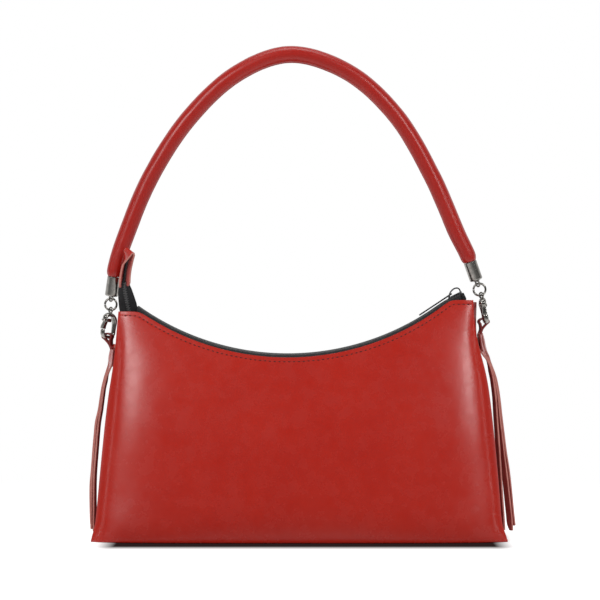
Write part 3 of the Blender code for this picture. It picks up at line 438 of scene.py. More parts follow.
def metalWearGroup():
    # fine brushing along one way and soft smudges
    tree, given, result = newGroup("metalWear", [("Vector", "Vector")], ["Height", "Smudge"])
    drawn = wire(tree, "VectorMath", {0: given["Vector"], 1: (5200.0, 5200.0, 420.0)},
                 operation="MULTIPLY").outputs[0]
    joinUp(tree, result, Height=noiseOf(tree, drawn, 1.0, 2.0),
           Smudge=spread(tree, noiseOf(tree, given["Vector"], 380.0, 4.0, 0.6), 0.3, 0.7))
    return tree


leatherGrain, convexEdges = leatherGrainGroup(), convexEdgesGroup()
weave, metalWear = weaveGroup(), metalWearGroup()


def newMaterial(name, roughness, metallic=0.0, **sockets):
    # a material with its shader; the sockets hold what is the same all over
    material = bpy.data.materials.new(name)
    material.use_nodes = True
    tree = material.node_tree
    inputs = tree.nodes["Principled BSDF"].inputs
    for label, value in dict(sockets, Roughness=roughness, Metallic=metallic).items():
        inputs[label.replace("_", " ")].default_value = value
    return material, tree, inputs, wire(tree, "TexCoord").outputs


def dress(tree, sockets, colour, roughness, height, depth):
    # joins a finish's colour, roughness and relief to its shader
    normal = wire(tree, "Bump", {"Height": height, "Distance": depth, "Strength": 1.0}).outputs[0]
    joinUp(tree, sockets, Base_Color=colour, Roughness=roughness, Normal=normal)


def solid(red, green, blue):
    return (red, green, blue, 1.0)


def leatherMaterial(name, bright, deep, rough, cell, depth, coat):
    material, tree, sockets, here = newMaterial(name, rough, Coat_Weight=coat, Coat_Roughness=0.20)
    grain = placed(tree, leatherGrain, Vector=here["Object"], Size=cell)
    edgeWearAndSheen = placed(tree, convexEdges, Vector=here["Object"], Start=0.54)
    body = mixed(tree, grain["Tone"], solid(*deep), solid(*bright))
    shade, pale = [part * 0.7 for part in deep], [min(1, part * 1.25 + 0.03) for part in bright]
    shaded = mixed(tree, times(tree, grain["Valley"], 0.10), body, solid(*shade))
    wornAndSheened = mixed(tree, times(tree, edgeWearAndSheen["Mask"], 0.45), shaded, solid(*pale))
    matt = spread(tree, grain["Gloss"], 0.0, 1.0, rough - 0.04, rough + 0.05)
    dress(tree, sockets, wornAndSheened, matt, grain["Height"], depth)
    return material


def fibreMaterial(name, light, dark, scale, depth, rough=0.85):
    # cut or suede leather: loose fibres and layers
    material, tree, sockets, here = newMaterial(name, rough)
    drawn = wire(tree, "VectorMath", {0: here["Object"], 1: (1.0, 1.0, 0.45)},
                 operation="MULTIPLY").outputs[0]
    fibres = noiseOf(tree, drawn, scale, 6.0, 0.7)
    patches = noiseOf(tree, here["Object"], 60.0, 3.0)
    share = plus(tree, times(tree, fibres, 0.6), times(tree, patches, 0.4))
    colour = mixed(tree, spread(tree, share, 0.35, 0.65), solid(*dark), solid(*light))
    dress(tree, sockets, colour, spread(tree, fibres, 0.3, 0.7, rough - 0.1, rough + 0.1), fibres, depth)
    return material


def wovenMaterial(name, light, dark, pitch, depth, rough):
    material, tree, sockets, here = newMaterial(name, rough)
    cloth = placed(tree, weave, Vector=here["UV"], Pitch=pitch)
    matt = spread(tree, cloth["Tone"], 0.0, 1.0, rough + 0.08, rough - 0.06)
    colour = mixed(tree, cloth["Tone"], solid(*dark), solid(*light))
    dress(tree, sockets, colour, matt, cloth["Height"], depth)
    return material


def metalMaterial(name, clean, dull, rough):
    material, tree, sockets, here = newMaterial(name, rough, 1.0)
    touch = placed(tree, metalWear, Vector=here["Object"])
    edgeWearAndSheen = placed(tree, convexEdges, Vector=here["Object"], Start=0.53)
    base = mixed(tree, touch["Smudge"], solid(*clean), solid(*dull))
    wornAndSheened = mixed(tree, edgeWearAndSheen["Mask"], base, solid(*[part * 1.7 for part in clean]))
    matt = spread(tree, touch["Smudge"], 0.0, 1.0, rough - 0.04, rough + 0.10)
    dress(tree, sockets, wornAndSheened, matt, touch["Height"], 0.00001)
    return material


redLeather = leatherMaterial("redLeather", (0.45, 0.0155, 0.0062), (0.415, 0.012, 0.005), 0.26, 0.0014,
                             0.000024, 0.08)
handleLeather = leatherMaterial("handleLeather", (0.40, 0.011, 0.005), (0.36, 0.008, 0.0035), 0.31, 0.0012,
                                0.000010, 0.05)
# a darker, rougher copy of the red leather: painted shade for the gussets and the side tabs
shadedSideLeather = leatherMaterial("shadedSideLeather", (0.25, 0.016, 0.013), (0.18, 0.009, 0.008), 0.40, 0.0009,
                                0.00005, 0.1)
suedeSide = fibreMaterial("suedeSide", (0.56, 0.125, 0.11), (0.40, 0.06, 0.055), 1500.0, 0.00012)
rawEdge = fibreMaterial("rawEdge", (0.66, 0.29, 0.24), (0.44, 0.13, 0.11), 2600.0, 0.0001)
inkedEdge = fibreMaterial("inkedEdge", (0.47, 0.075, 0.062), (0.36, 0.035, 0.03), 1800.0, 0.00006, 0.5)
stitchThread = fibreMaterial("stitchThread", (0.36, 0.018, 0.012), (0.27, 0.012, 0.009), 3200.0, 0.0001, 0.6)
# painted shade: a near-black colour for the stitch holes
paintedHoleShade = fibreMaterial("paintedHoleShade", (0.07, 0.003, 0.003), (0.03, 0.001, 0.001), 3200.0, 0.00005, 0.8)
zipWeave = wovenMaterial("zipWeave", (0.026, 0.026, 0.028), (0.006, 0.006, 0.007), 0.00045, 0.00012, 0.72)
liningCloth = wovenMaterial("liningCloth", (0.045, 0.036, 0.036), (0.018, 0.013, 0.013), 0.00040, 0.00008,
                            0.82)
gunmetal = metalMaterial("gunmetal", (0.36, 0.345, 0.32), (0.23, 0.22, 0.205), 0.18)
blackMetal = metalMaterial("blackMetal", (0.10, 0.10, 0.105), (0.05, 0.05, 0.053), 0.27)
boardGrey = fibreMaterial("boardGrey", (0.30, 0.27, 0.23), (0.21, 0.18, 0.15), 900.0, 0.0001, 0.9)
cottonCord = fibreMaterial("cottonCord", (0.62, 0.57, 0.48), (0.42, 0.37, 0.30), 700.0, 0.0003, 0.9)


def nylonMaterial(name, light):
    material, tree, sockets, here = newMaterial(name, 0.34)
    edgeWearAndSheen = placed(tree, convexEdges, Vector=here["Object"], Start=0.53)
    tone = noiseOf(tree, here["Object"], 700.0, 3.0)
    base = mixed(tree, tone, solid(*[light * 0.42] * 3), solid(*[light] * 3))
    # convex edges painted lighter grey: a painted sheen on the black nylon
    wornAndSheened = mixed(tree, times(tree, edgeWearAndSheen["Mask"], 0.5), base, solid(0.07, 0.07, 0.075))
    dress(tree, sockets, wornAndSheened, spread(tree, tone, 0.3, 0.7, 0.28, 0.42), tone, 0.00003)
    return material


zipNylon = nylonMaterial("zipNylon", 0.024)
wornNylon = nylonMaterial("wornNylon", 0.13)
print("materials ready:", len(bpy.data.materials))


# small sums that the shapes share

def unit(value):
    return max(0, min(1, value))


def hump(away, wide):
    # 1 in the middle, fading to nothing on both sides
    return math.exp(-(away / wide) ** 2)


def eased(share):
    return share * share * (3 - 2 * share)


def lower(first, second, soft):
    # the lower of two heights, with the corner where they cross rounded
    low = min(first, second)
    return low - soft * math.log(math.exp((low - first) / soft) + math.exp((low - second) / soft))


# the bag's surface, as the panels follow it

def through(low, middle, high, t):
    return low * (1 - t) * (1 - 2 * t) + middle * 4 * t * (1 - t) + high * t * (2 * t - 1)


def drawn(side, z):
    # how far the side tab draws the edge in
    return bag[side + "Draw"] * hump(z - bag[side + "DrawAt"], bag["drawSpan"])


def leftEdge(z):
    t = z / bag["leftHeight"]
    return baseLeftX + t * (topLeftX - baseLeftX) - bag["leftBelly"] * 4 * t * (1 - t) + drawn("left", z)


def rightEdge(z):
    t = z / bag["rightHeight"]
    return baseRightX + t * (topRightX - baseRightX) + bag["rightBelly"] * 4 * t * (1 - t) - drawn("right", z)


def sideHalf(z):
    return through(bag["baseSideDepth"], bag["middleSideDepth"], bag["topSideDepth"], z / height) / 2


def middleHalf(z):
    return through(bag["baseDepth"], bag["middleDepth"], bag["topDepth"], z / height) / 2


def across(u, z):
    return leftEdge(z) + (u + 1) / 2 * (rightEdge(z) - leftEdge(z))


def cadHalf(u, z):
    return sideHalf(z) + (middleHalf(z) - sideHalf(z)) * (1 - abs(u) ** 4)


def shareAt(x, z):
    return max(-1, min(1, 2 * (x - leftEdge(z)) / (rightEdge(z) - leftEdge(z)) - 1))


def lipHeight(x):
    # the long arc, rounded into the level stretch at each corner
    flat = bag["leftHeight"] if x < bag["lipCentreX"] else bag["rightHeight"]
    arc = lipCentreZ - math.sqrt(bag["lipRadius"] ** 2 - (x - bag["lipCentreX"]) ** 2)
    return lower(flat, arc, bag["lipRounding"])


def lipSlope(x):
    return (lipHeight(x + 0.0005) - lipHeight(x - 0.0005)) / 0.001


def topOf(u):
    z = height
    for _ in range(8):
        z = lipHeight(across(u, z))
    return z


# front and back panels
panel = {
    "columns": 132, "wallRows": 46, "lipZone": 0.011, "hemRows": 3, "foldRows": 7,
    "lipDrops": [0.0085, 0.0070, 0.0058, 0.0048, 0.0042, 0.0038, 0.0035, 0.0032, 0.0029, 0.0025, 0.0019,
                 0.0012, 0.0006, 0.0],
    "seamDrop": 0.0031, "grooveDepth": 0.00010, "grooveWidth": 0.0007, "fold": 0.0009, "footBulge": 0.0036,
    "rollShare": 0.30, "rollPower": 16, "puff": 0.0019, "bandWide": 0.0058, "bandSoft": 0.0010,
    "levelFrom": 0.06, "footHigh": 0.03, "standBack": 0.0019, "standHigh": 0.022,
    "leftEar": 0.0022, "rightEar": 0.0034, "earWide": 0.011, "earHigh": 0.009,
    "wavy": 0.0005, "pebbly": 0.00012,
    # soft dents and swells of the front: x, z, half width, half height, depth
    "swells": [(-0.075, 0.085, 0.035, 0.045, -0.0008), (0.095, 0.075, 0.025, 0.050, -0.0006),
               (0.0, 0.06, 0.06, 0.04, 0.0008)],
}
hemEdge = sideHalf(0) - bag["foldRadius"] - bag["hemWidth"]


def panelHalf(u, z):
    # the real edge rolls more tightly towards the side seam than the plain solid
    plain = cadHalf(u, z)
    spare = middleHalf(z) - sideHalf(z)
    rolled = plain + spare * panel["rollShare"] * (abs(u) ** 4 - abs(u) ** panel["rollPower"])
    # the last few millimetres before the side seam lean in as a flat band
    inside = (1 - abs(u)) * (rightEdge(z) - leftEdge(z)) / 2 - panel["bandWide"]
    soft = panel["bandSoft"]
    rise = min(0, inside) - soft * math.log(1 + math.exp(-abs(inside) / soft))
    level = 1 - unit((z - panel["levelFrom"]) / (topOf(u) - panel["levelFrom"])) ** 2
    foot = panel["footBulge"] * (1 - abs(u) ** 6) * hump(z, panel["footHigh"])
    return rolled + foot + panel["puff"] * (1 + rise / panel["bandWide"]) * (0.25 + 0.75 * level)


def panelRelief(x, z, drop, seed):
    relief = 0.0
    for cx, cz, wide, tall, depth in panel["swells"]:
        relief += depth * hump(x - cx, wide) * hump(z - cz, tall)
    hush = min(1, drop / 0.02)
    relief += panel["wavy"] * hush * noise.noise(Vector((x * 14, z * 11, seed)))
    relief += panel["pebbly"] * hush * noise.noise(Vector((x * 70, z * 45, seed + 7)))
    relief -= panel["grooveDepth"] * hump(drop - panel["seamDrop"], panel["grooveWidth"])
    return relief


def earAt(u, z):
    # how far the bottom corners flare past the side edges
    reach = max(0, 1 - (1 - abs(u)) * bag["baseLength"] / 2 / panel["earWide"])
    wide = -panel["leftEar"] if u < 0 else panel["rightEar"]
    return wide * reach ** 1.5 * hump(z, panel["earHigh"])


def steepAt(u, top):
    # how much longer the slanting lip is than its level length
    return math.sqrt(1 + lipSlope(across(u, top)) ** 2)


def panelStations():
    # rows from the hem under the base, round the fold and up the wall to the lip
    rows = [(kind, k / panel[kind + "Rows"]) for kind in ("hem", "fold", "wall")
            for k in range(panel[kind + "Rows"])]
    return rows + [("wall", 1.0)] + [("lip", drop) for drop in panel["lipDrops"]]


stations = panelStations()


def panelPoint(u, v, front, seed):
    kind, share = stations[round((v + 1) / 2 * (len(stations) - 1))]
    radius = panel["fold"]
    deep = panelHalf(u, radius)
    if kind == "hem":
        start, end = -hemEdge, -(deep - radius)
        return Vector((across(u, 0) + earAt(u, 0), (start + (end - start) * share) * front, 0))
    if kind == "fold":
        turn = math.radians(270 - 90 * share)
        z = radius + radius * math.sin(turn)
        return Vector((across(u, z) + earAt(u, z), (-(deep - radius) + radius * math.cos(turn)) * front, z))
    top = topOf(u)
    steep = steepAt(u, top)
    wallTop = top - panel["lipZone"] * steep
    z = radius + (wallTop - radius) * share if kind == "wall" else top - share * steep
    x = across(u, z)
    drop = (top - z) / steep
    rise = min(1, (z - radius) / 0.02)
    if front > 0 and u > 0:
        x -= panel["standBack"] * u ** 9 * hump(top - z, panel["standHigh"])
    return Vector((x + earAt(u, z), -(panelHalf(u, z) + panelRelief(x, z, drop, seed) * rise) * front, z))


def makePanel(name, node, front, seed):
    middle = Vector((0, 0, height / 3))
    item = leatherSheet(name, panel["columns"], len(stations) - 1, lambda u, v: panelPoint(u, v, front, seed),
                        (bag["baseLength"], 0.19), leather, lambda point: point - middle, bevel=0.0004)
    # the lip's edge is inked red, the sides stay raw
    for face in item.data.polygons:
        if face.material_index == 2 and lipHeight(face.center.x) - face.center.z < 0.001:
            face.material_index = 3
    complete(item, "root", [redLeather, suedeSide, rawEdge, inkedEdge], [node])


panelSides = {"front": (1, 3.0), "back": (-1, 11.0)}
for name, (front, seed) in panelSides.items():
    makePanel(name + "Panel", name + "_panel", front, seed)
print("panels ready")


# stitches, modelled once and copied along a line
# the hole entries size the near-black patches of painted shade at the stitch holes
stitch = {"pitch": 0.0035, "long": 0.0021, "thick": 0.00040, "sink": 0.00010, "slant": 5.0, "hole": 0.48,
          "holeShadeWide": 2.0, "holeShadeFlat": 0.22, "holeShadeStand": 0.00002}


def stitchShape(name, long, thick):
    # a sphere drawn out into a thread's short arch, with full ends
    item = added(name, bpy.ops.mesh.primitive_uv_sphere_add, segments=8, ring_count=6, radius=1.0)
    for vert in item.data.vertices:
        reach = min(abs(vert.co.z), 0.9999)
        fuller = math.sqrt((1 - reach ** 4) / (1 - reach ** 2))
        wide = fuller * thick / 2
        vert.co = Vector((vert.co.x * wide, vert.co.y * wide, vert.co.z * long / 2))
    return item


def alongLine(points, normals, pitch, margin):
    # places at an even pitch on a line: Z runs along it, Y stands off the surface
    places, done, want = [], 0.0, margin
    total = sum((b - a).length for a, b in zip(points, points[1:]))
    count = max(1, round((total - 2 * margin) / pitch))
    step = (total - 2 * margin) / count
    for k, (a, b) in enumerate(zip(points, points[1:])):
        span = (b - a).length
        while span and want <= done + span and want <= total - margin + 1e-9:
            share = (want - done) / span
            normal = normals[k].lerp(normals[min(k + 1, len(normals) - 1)], share)
            along = (b - a).normalized()
            places.append(frameOn(a.lerp(b, share), along, normal.cross(along)))
            want += step
        done += span
    return places


def stitchLine(name, points, normals, body, pitch=stitch["pitch"], long=stitch["long"], margin=0.002):
    places = alongLine(points, normals, pitch, margin)
    thick = stitch["thick"]
    item = stitchShape(name, long, thick)
    sink = Matrix.Translation((0, -stitch["sink"], 0)) @ turnedBy(stitch["slant"], "Y")
    copies(item, [place @ sink for place in places])
    complete(item, body, [stitchThread], angle=60)
    # flattened near-black patches between the stitches, just off the leather: painted shade in the stitch
    # holes
    holes = stitchShape(name.replace("Stitches", "Holes"), pitch * stitch["hole"], thick * stitch["holeShadeWide"])
    deepened(holes, stitch["holeShadeFlat"])
    copies(holes, [place @ Matrix.Translation((0, stitch["holeShadeStand"], pitch / 2)) for place in places[:-1]])
    complete(holes, body, [paintedHoleShade], angle=60)


def panelSpot(u, z, front, seed):
    top = topOf(u)
    steep = steepAt(u, top)
    x = across(u, z)
    return Vector((x, -(panelHalf(u, z) + panelRelief(x, z, (top - z) / steep, seed)) * front, z))


def lipSeam(name, front, seed):
    points, normals = [], []
    for k in range(521):
        u = (k / 260 - 1) * 0.985
        top = topOf(u)
        z = top - panel["seamDrop"] * steepAt(u, top)
        here = panelSpot(u, z, front, seed)
        beside = panelSpot(u, z - 0.0004, front, seed) - here
        aside = panelSpot(u + 0.002, z, front, seed) - here
        normal = aside.cross(beside).normalized()
        points.append(here)
        normals.append(normal if normal.y * front < 0 else -normal)
    stitchLine(name, points, normals, "root")


for name, (front, seed) in panelSides.items():
    lipSeam(name + "LipStitches", front, seed)


# gussets, base, linings and pocket
gusset = {"inset": 0.0015, "leftBulge": 0.0028, "rightBulge": 0.0038, "columns": 26, "rows": 54,
          "dent": 0.0012}
board = {"thickness": 0.0018}
boardTop = leather + gap + board["thickness"]
baseLiningLow = boardTop + gap
sideLiningLow = max(bag["foldRadius"], baseLiningLow + lining + gap)
tapeLeg = 0.012


def outOf(side):
    return -1 if side == "left" else 1


def gussetFace(side, z, share=0.0):
    edge = leftEdge(z) + gusset["inset"] if side == "left" else rightEdge(z) - gusset["inset"]
    swell = gusset[side + "Bulge"] * (1 - share ** 2) * (z / bag[side + "Height"]) ** 2
    return edge + outOf(side) * swell


def gussetPoint(side, u, v, low, top, inset, depthInset, dent, seed):
    z = low + (top - low) * (v + 1) / 2
    half = sideHalf(z) - depthInset
    half += (sideHalf(0) - bag["foldRadius"] - sideHalf(z)) * max(0, 1 - (z - low) / 0.006) ** 2
    soft = dent * (1 - u * u) * (0.6 + 0.4 * noise.noise(Vector((u * 1.4, z * 16, seed))))
    soft += dent * 0.5 * (1 - u * u) * hump(u, 0.22) * min(1, z / 0.04)
    return Vector((gussetFace(side, z, u) - outOf(side) * (inset + soft), u * half, z))


def liningSheet(name, columns, rows, shape, flat, outwards, node):
    item = clothSheet(name, columns, rows, shape, flat, lining, outwards)
    complete(item, "root", [liningCloth], [node])


for side in ("left", "right"):
    out = Vector((outOf(side), 0, 0))
    flat, top = (bag["middleSideDepth"], height), bag[side + "Height"]
    item = leatherSheet(side + "Gusset", gusset["columns"], gusset["rows"],
                        lambda u, v: gussetPoint(side, u, v, leather + gap, top - gusset["inset"], 0.0,
                                                 leather + gap, gusset["dent"], 5.0),
                        flat, leather, lambda point: out)
    # the gussets take the darker copy of the red leather, which is painted shade
    complete(item, "root", [shadedSideLeather, suedeSide, inkedEdge], [side + "_gusset"])
    liningSheet(side + "Lining", 16, 30,
                lambda u, v: gussetPoint(side, u, v, sideLiningLow, top - tapeLeg, leather + sheetGap,
                                         leather + lining + sheetGap + gap, gusset["dent"] * 1.1, 8.0),
                flat, lambda point: out, side + "_lining")


def slabPoint(u, v, left, right, half, z):
    return Vector((left + (right - left) * (u + 1) / 2, v * half, z))


item = leatherSheet("basePanel", 48, 12,
                    lambda u, v: slabPoint(u, v, leftEdge(0) + gap, rightEdge(0) - gap, hemEdge - gap, 0.0),
                    (bag["baseLength"], 2 * hemEdge), leather, lambda point: -up)
complete(item, "root", [redLeather, suedeSide, rawEdge], ["base_panel"])

liningLeft = gussetFace("left", boardTop) + leather + gap * 2
liningRight = gussetFace("right", boardTop) - leather - gap * 2
liningHalf = sideHalf(baseLiningLow) - leather * 1.5
liningSheet("baseLining", 60, 18,
            lambda u, v: slabPoint(u, v, liningLeft, liningRight, liningHalf, baseLiningLow + lining),
            (bag["baseLength"], 2 * liningHalf), lambda point: up, "base_lining")

liningSpan = 1 - 2 * (gusset["inset"] + leather + sheetGap) / bag["topLength"]


def liningPoint(u, v, front, seed):
    u *= liningSpan
    top = topOf(u) - tapeLeg - 2 * gap
    z = sideLiningLow + (top - sideLiningLow) * (v + 1) / 2
    x = across(u, z)
    loose = 0.0006 * (1 - abs(v) ** 6) * (0.5 + 0.5 * noise.noise(Vector((x * 40, z * 30, seed))))
    return Vector((x, -(cadHalf(u, z) - leather - sheetGap - loose) * front, z))


for name, front, seed in (("front", 1, 21.0), ("back", -1, 27.0)):
    liningSheet(name + "Lining", 70, 34, lambda u, v: liningPoint(u, v, front, seed),
                (bag["baseLength"], height), lambda point: Vector((0, -front, 0)), name + "_lining")

pocket = {"width": 0.100, "low": 0.024, "top": 0.088, "deep": 0.0085, "slack": 0.0008, "floorShare": 0.12,
          "frontShare": 0.8}


def pocketPoint(u, v):
    # u goes round the pocket's three walls; the lowest rows close its bottom
    floor, turn = pocket["floorShare"], pocket["frontShare"]
    z = pocket["low"] + (pocket["top"] - pocket["low"]) * max(0, v * 0.5 + 0.5 - floor) / (1 - floor)
    half = pocket["width"] / 2
    inside = leather + lining + sheetGap + gap
    back = cadHalf(shareAt(half, z), z) - inside
    front = cadHalf(shareAt(0, z), z) - inside - pocket["deep"]
    walls = unit((abs(u) - turn) / (1 - turn))
    x = math.copysign(min(half, half * abs(u) / turn), u)
    soft = (1 - min(1, abs(u) / turn) ** 4) * pocket["slack"] * (0.4 + 0.6 * v)
    y = front + (back - front) * walls ** 1.2 + soft
    closing = max(0, 1 - (v + 1) / 2 / floor)
    return Vector((x, y + (back - y) * closing, z))


liningSheet("innerPocket", 60, 26, pocketPoint, (0.117, 0.072),
            lambda point: Vector((point.x * 0.3, -0.02, 0)), "inner_pocket")
reclothe("base_board", boardGrey)
print("linings ready")


# the zip: tapes, two rows of nylon coil, slider, pull and the turned end of the tapes
zipper = {
    "radius": bag["lipRadius"] - 0.0019, "startX": topLeftX + 0.0137, "sliderX": topRightX - 0.0182,
    "rise": 0.0019, "tape": 0.0006, "coilHalf": 0.0026, "coilThick": 0.0012, "reach": 0.0016,
    "pitch": 0.0012, "rod": 0.00036, "overlap": 0.0007, "slant": 0.00045,
    "sliderLong": 0.011, "sliderHalf": 0.0042, "plate": 0.0012, "sliderTurn": 26.0, "sliderShift": 0.0034,
    # past this x the zip leaves the arc for a flatter line to its right end
    "levelFrom": 0.06, "levelX": 0.105, "levelZ": 0.1725, "levelSlope": 0.40, "levelSoft": 0.0008,
    "columns": 150, "tapePast": 0.0062, "wedge": (0.0028, 0.0026), "wedgeX": 0.0038,
    # the tapes' turned end, seen from the front
    "endOutline": [(0.1165, 0.1709), (0.1165, 0.17753), (0.11877, 0.1784), (0.12074, 0.17431),
                   (0.12074, 0.1709)],
}
tapeEdge = zipper["coilHalf"] + gap


def zipAngle(x):
    return math.asin((x - bag["lipCentreX"]) / zipper["radius"])


def zipPoint(angle, y=0.0, rise=0.0):
    radius = zipper["radius"] - rise
    x, z = bag["lipCentreX"] + radius * math.sin(angle), lipCentreZ - radius * math.cos(angle)
    if x > zipper["levelFrom"]:
        level = zipper["levelZ"] + zipper["levelSlope"] * (x - zipper["levelX"]) + rise
        z = lower(z, level, zipper["levelSoft"])
    return Vector((x, y, z))


sliderAngle = zipAngle(zipper["sliderX"])
zipStart = zipAngle(zipper["startX"])
tapeEnd = zipAngle(zipper["sliderX"] + zipper["tapePast"])
chainEnd = sliderAngle + zipper["reach"] / zipper["radius"]


def tapeColumn(angle, front):
    # from the leg sewn behind the lip over to the coil
    here = zipPoint(angle, rise=zipper["tape"] / 2)
    x, z, lip = here.x, here.z, lipHeight(here.x)
    column = []
    for leg in (lip - tapeLeg, lip - tapeLeg / 2, lip - gap):
        column.append((cadHalf(shareAt(x, leg), leg) - leather - sheetGap, leg))
    edge = cadHalf(shareAt(x, lip), lip) - leather - sheetGap
    column += [(edge - zipper["rise"] / 2, z - zipper["rise"] / 2),
               ((edge + tapeEdge) / 2, z - gap / 2), (tapeEdge, z)]
    return smoothPath([Vector((x, -y * front, height)) for y, height in column], 14)


for name, front in (("Front", 1), ("Back", -1)):
    count = zipper["columns"]
    columns = [tapeColumn(zipStart + (tapeEnd - zipStart) * k / count, front) for k in range(count + 1)]
    item = clothSheet("zipTape" + name, count, 14,
                      lambda u, v: columns[round((u + 1) * count / 2)][round((v + 1) * 7)], (0.242, 0.026),
                      zipper["tape"], lambda point: Vector((0, -front, 1)))
    complete(item, "root", [zipWeave], ["zip_tape_" + name.lower()])
    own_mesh(item)


def coilRow(name, front, shift):
    # one bent rod with a headed tip, copied along the arc, on a narrow bed
    half, rod = zipper["coilHalf"], zipper["rod"]
    lean = zipper["slant"] * front
    line = [Vector((-lean, -half * front, -0.0003)), Vector((-lean * 0.9, -half * 0.85 * front, 0.00012)),
            Vector((-lean * 0.2, -half * 0.45 * front, 0.00026)), Vector((lean * 0.4, 0, 0.00022)),
            Vector((lean * 0.6, zipper["overlap"] * 0.7 * front, 0.00012)),
            Vector((lean * 0.6, zipper["overlap"] * front, -0.0001))]
    item = roundBar(name, line, [rod * 0.8, rod * 0.9, rod * 0.92, rod, rod * 1.15, rod * 0.8], sides=6)
    length = (chainEnd - zipStart) * zipper["radius"]
    places = []
    for k in range(int((length - shift) // zipper["pitch"])):
        angle = zipStart + (shift + (k + 0.5) * zipper["pitch"]) / zipper["radius"]
        places.append(frameOn(zipPoint(angle), zipPoint(angle, rise=0.01) - zipPoint(angle),
                              Vector((math.cos(angle), 0, math.sin(angle)))))
    copies(item, places)
    bed = clothSheet(name + "Bed", zipper["columns"], 2,
                     lambda u, v: zipPoint(zipStart + (chainEnd - zipStart) * (u + 1) / 2,
                                           -front * (0.0014 - 0.0012 * v), -0.0003),
                     (0.24, 0.0024), 0.0003, lambda point: up)
    joinTo(item, bed)
    complete(item, "root", [zipNylon], ["zip_coil_" + name[7:].lower()], angle=50)
    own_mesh(item)


coilRow("zipCoilFront", 1, 0.0)
coilRow("zipCoilBack", -1, zipper["pitch"] / 2)

sliderPlace = Matrix.Translation(zipPoint(sliderAngle) + Vector((zipper["sliderShift"], 0, 0.0008)))
sliderPlace = sliderPlace @ turnedBy(-zipper["sliderTurn"], "Y")
plateLow = zipper["coilThick"] / 2 + gap
plateTop = plateLow + zipper["plate"]
tapeRoom = zipper["tape"] / 2 + gap


def sliderPlate(sign):
    # a shield-shaped plate, narrower at its tail, with a flange down each side
    long, half = zipper["sliderLong"], zipper["sliderHalf"]
    middle = (plateLow + plateTop) / 2 * sign
    item = added("zipSlider", bpy.ops.mesh.primitive_circle_add, vertices=40, radius=1.0, fill_type="NGON",
                 location=(0, 0, 0))
    for vert in item.data.vertices:
        turn = math.atan2(vert.co.y, vert.co.x)
        round4 = (abs(math.cos(turn)) ** 4 + abs(math.sin(turn)) ** 4) ** -0.25
        x, y = math.cos(turn) * round4 * long / 2, math.sin(turn) * round4 * half
        vert.co = Vector((x, y * (0.92 + 0.08 * x / (long / 2)), middle - zipper["plate"] / 2))
    editAll(item, lambda: drawUp(zipper["plate"]), allPicked, normalsOut)
    modify(item, "BEVEL", width=0.00035, segments=3, limit_method="ANGLE", angle_limit=math.radians(50))
    thick = half - zipper["coilHalf"] - 2 * gap
    flanges = []
    for hand in (-1, 1):
        low, high = sorted((tapeRoom * sign, middle))
        flanges.append(block("flange", (long * 0.86, thick, high - low),
                             (0.0002, hand * (half - thick / 2 - 0.0002), (low + high) / 2), 0.0002, 2))
    return joinTo(item, *flanges)


slider = sliderPlate(1)
# between the plates a wedge parts the two coils; the crown on top carries the pull
wedge = block("wedge", (*zipper["wedge"], 2 * plateLow + 0.0008), (zipper["wedgeX"], 0, 0), 0.0006)
crown = {"long": 0.0045, "high": 0.0040, "wire": 0.00055, "skew": 0.0016, "breadth": 1.5, "sunk": 0.0006}
arch = [Vector((-crown["long"] * math.cos(turn) + crown["skew"] * math.sin(turn), 0,
                plateTop - 0.0001 + crown["high"] * math.sin(turn)))
        for turn in (math.pi * k / 20 for k in range(21))]
arch = [arch[0] - up * crown["sunk"]] + arch + [arch[-1] - up * crown["sunk"]]
crownBar = roundBar("crown", arch, crown["wire"], sides=12)
deepened(crownBar, crown["breadth"])
joinTo(slider, sliderPlate(-1), wedge, crownBar)
setAt(slider, sliderPlace)
complete(slider, "slider", [blackMetal], ["zip_slider"], angle=35)


def flatPiece(name, outline, thick, bevel, holes=()):
    # a filled outline drawn up to its thickness, with holes cut through and its edges eased
    pieces = []
    for line in (outline, *holes):
        tall = thick if not pieces else thick * 4
        item = added(name, bpy.ops.mesh.primitive_circle_add, vertices=len(line), radius=1.0,
                     fill_type="NGON", location=(0, 0, 0))
        for vert, (x, y) in zip(item.data.vertices, line):
            vert.co = Vector((x, y, -tall / 2))
        editAll(item, lambda: drawUp(tall), allPicked, normalsOut)
        pieces.append(item)
    item = pieces[0]
    for hole in pieces[1:]:
        modify(item, "BOOLEAN", object=hole, operation="DIFFERENCE", solver="EXACT")
        bpy.data.objects.remove(hole)
    return modify(item, "BEVEL", width=bevel, segments=3, limit_method="ANGLE", angle_limit=math.radians(35))


def arcLine(x, y, radius, start, end, steps):
    turns = [math.radians(start + (end - start) * k / steps) for k in range(steps + 1)]
    return [(x + radius * math.cos(turn), y + radius * math.sin(turn)) for turn in turns]


pull = {"long": 0.028, "wide": 0.006, "thick": 0.001, "slot": 0.0085, "slotWide": 0.0026, "corner": 0.0012,
        "pivotX": -0.0022, "tilt": -7.5, "lift": 0.0004}
bar, wide, tip, corner = pull["thick"] * 0.6, pull["wide"] / 2, pull["wide"] * 0.42, pull["corner"]
outline = arcLine(bar - corner, -wide + corner, corner, 270, 360, 4)
outline += arcLine(bar - corner, wide - corner, corner, 0, 90, 4) + [(-pull["slot"] - bar, wide)]
outline += arcLine(-pull["long"] + tip, 0, tip, 90, 270, 16) + [(-pull["slot"] - bar, -wide)]
slotHalf = pull["slotWide"] / 2
slot = arcLine(-bar - slotHalf, 0, slotHalf, -90, 90, 8)
slot += arcLine(-pull["slot"] + slotHalf, 0, slotHalf, 90, 270, 8)
pullPiece = flatPiece("zipPull", outline, pull["thick"], 0.00018, [slot])
pivotZ = plateTop + gap / 2 + pull["thick"] * 0.78 + pull["lift"]
setAt(pullPiece, sliderPlace @ Matrix.Translation((pull["pivotX"], 0, pivotZ)) @ turnedBy(pull["tilt"], "Y"))
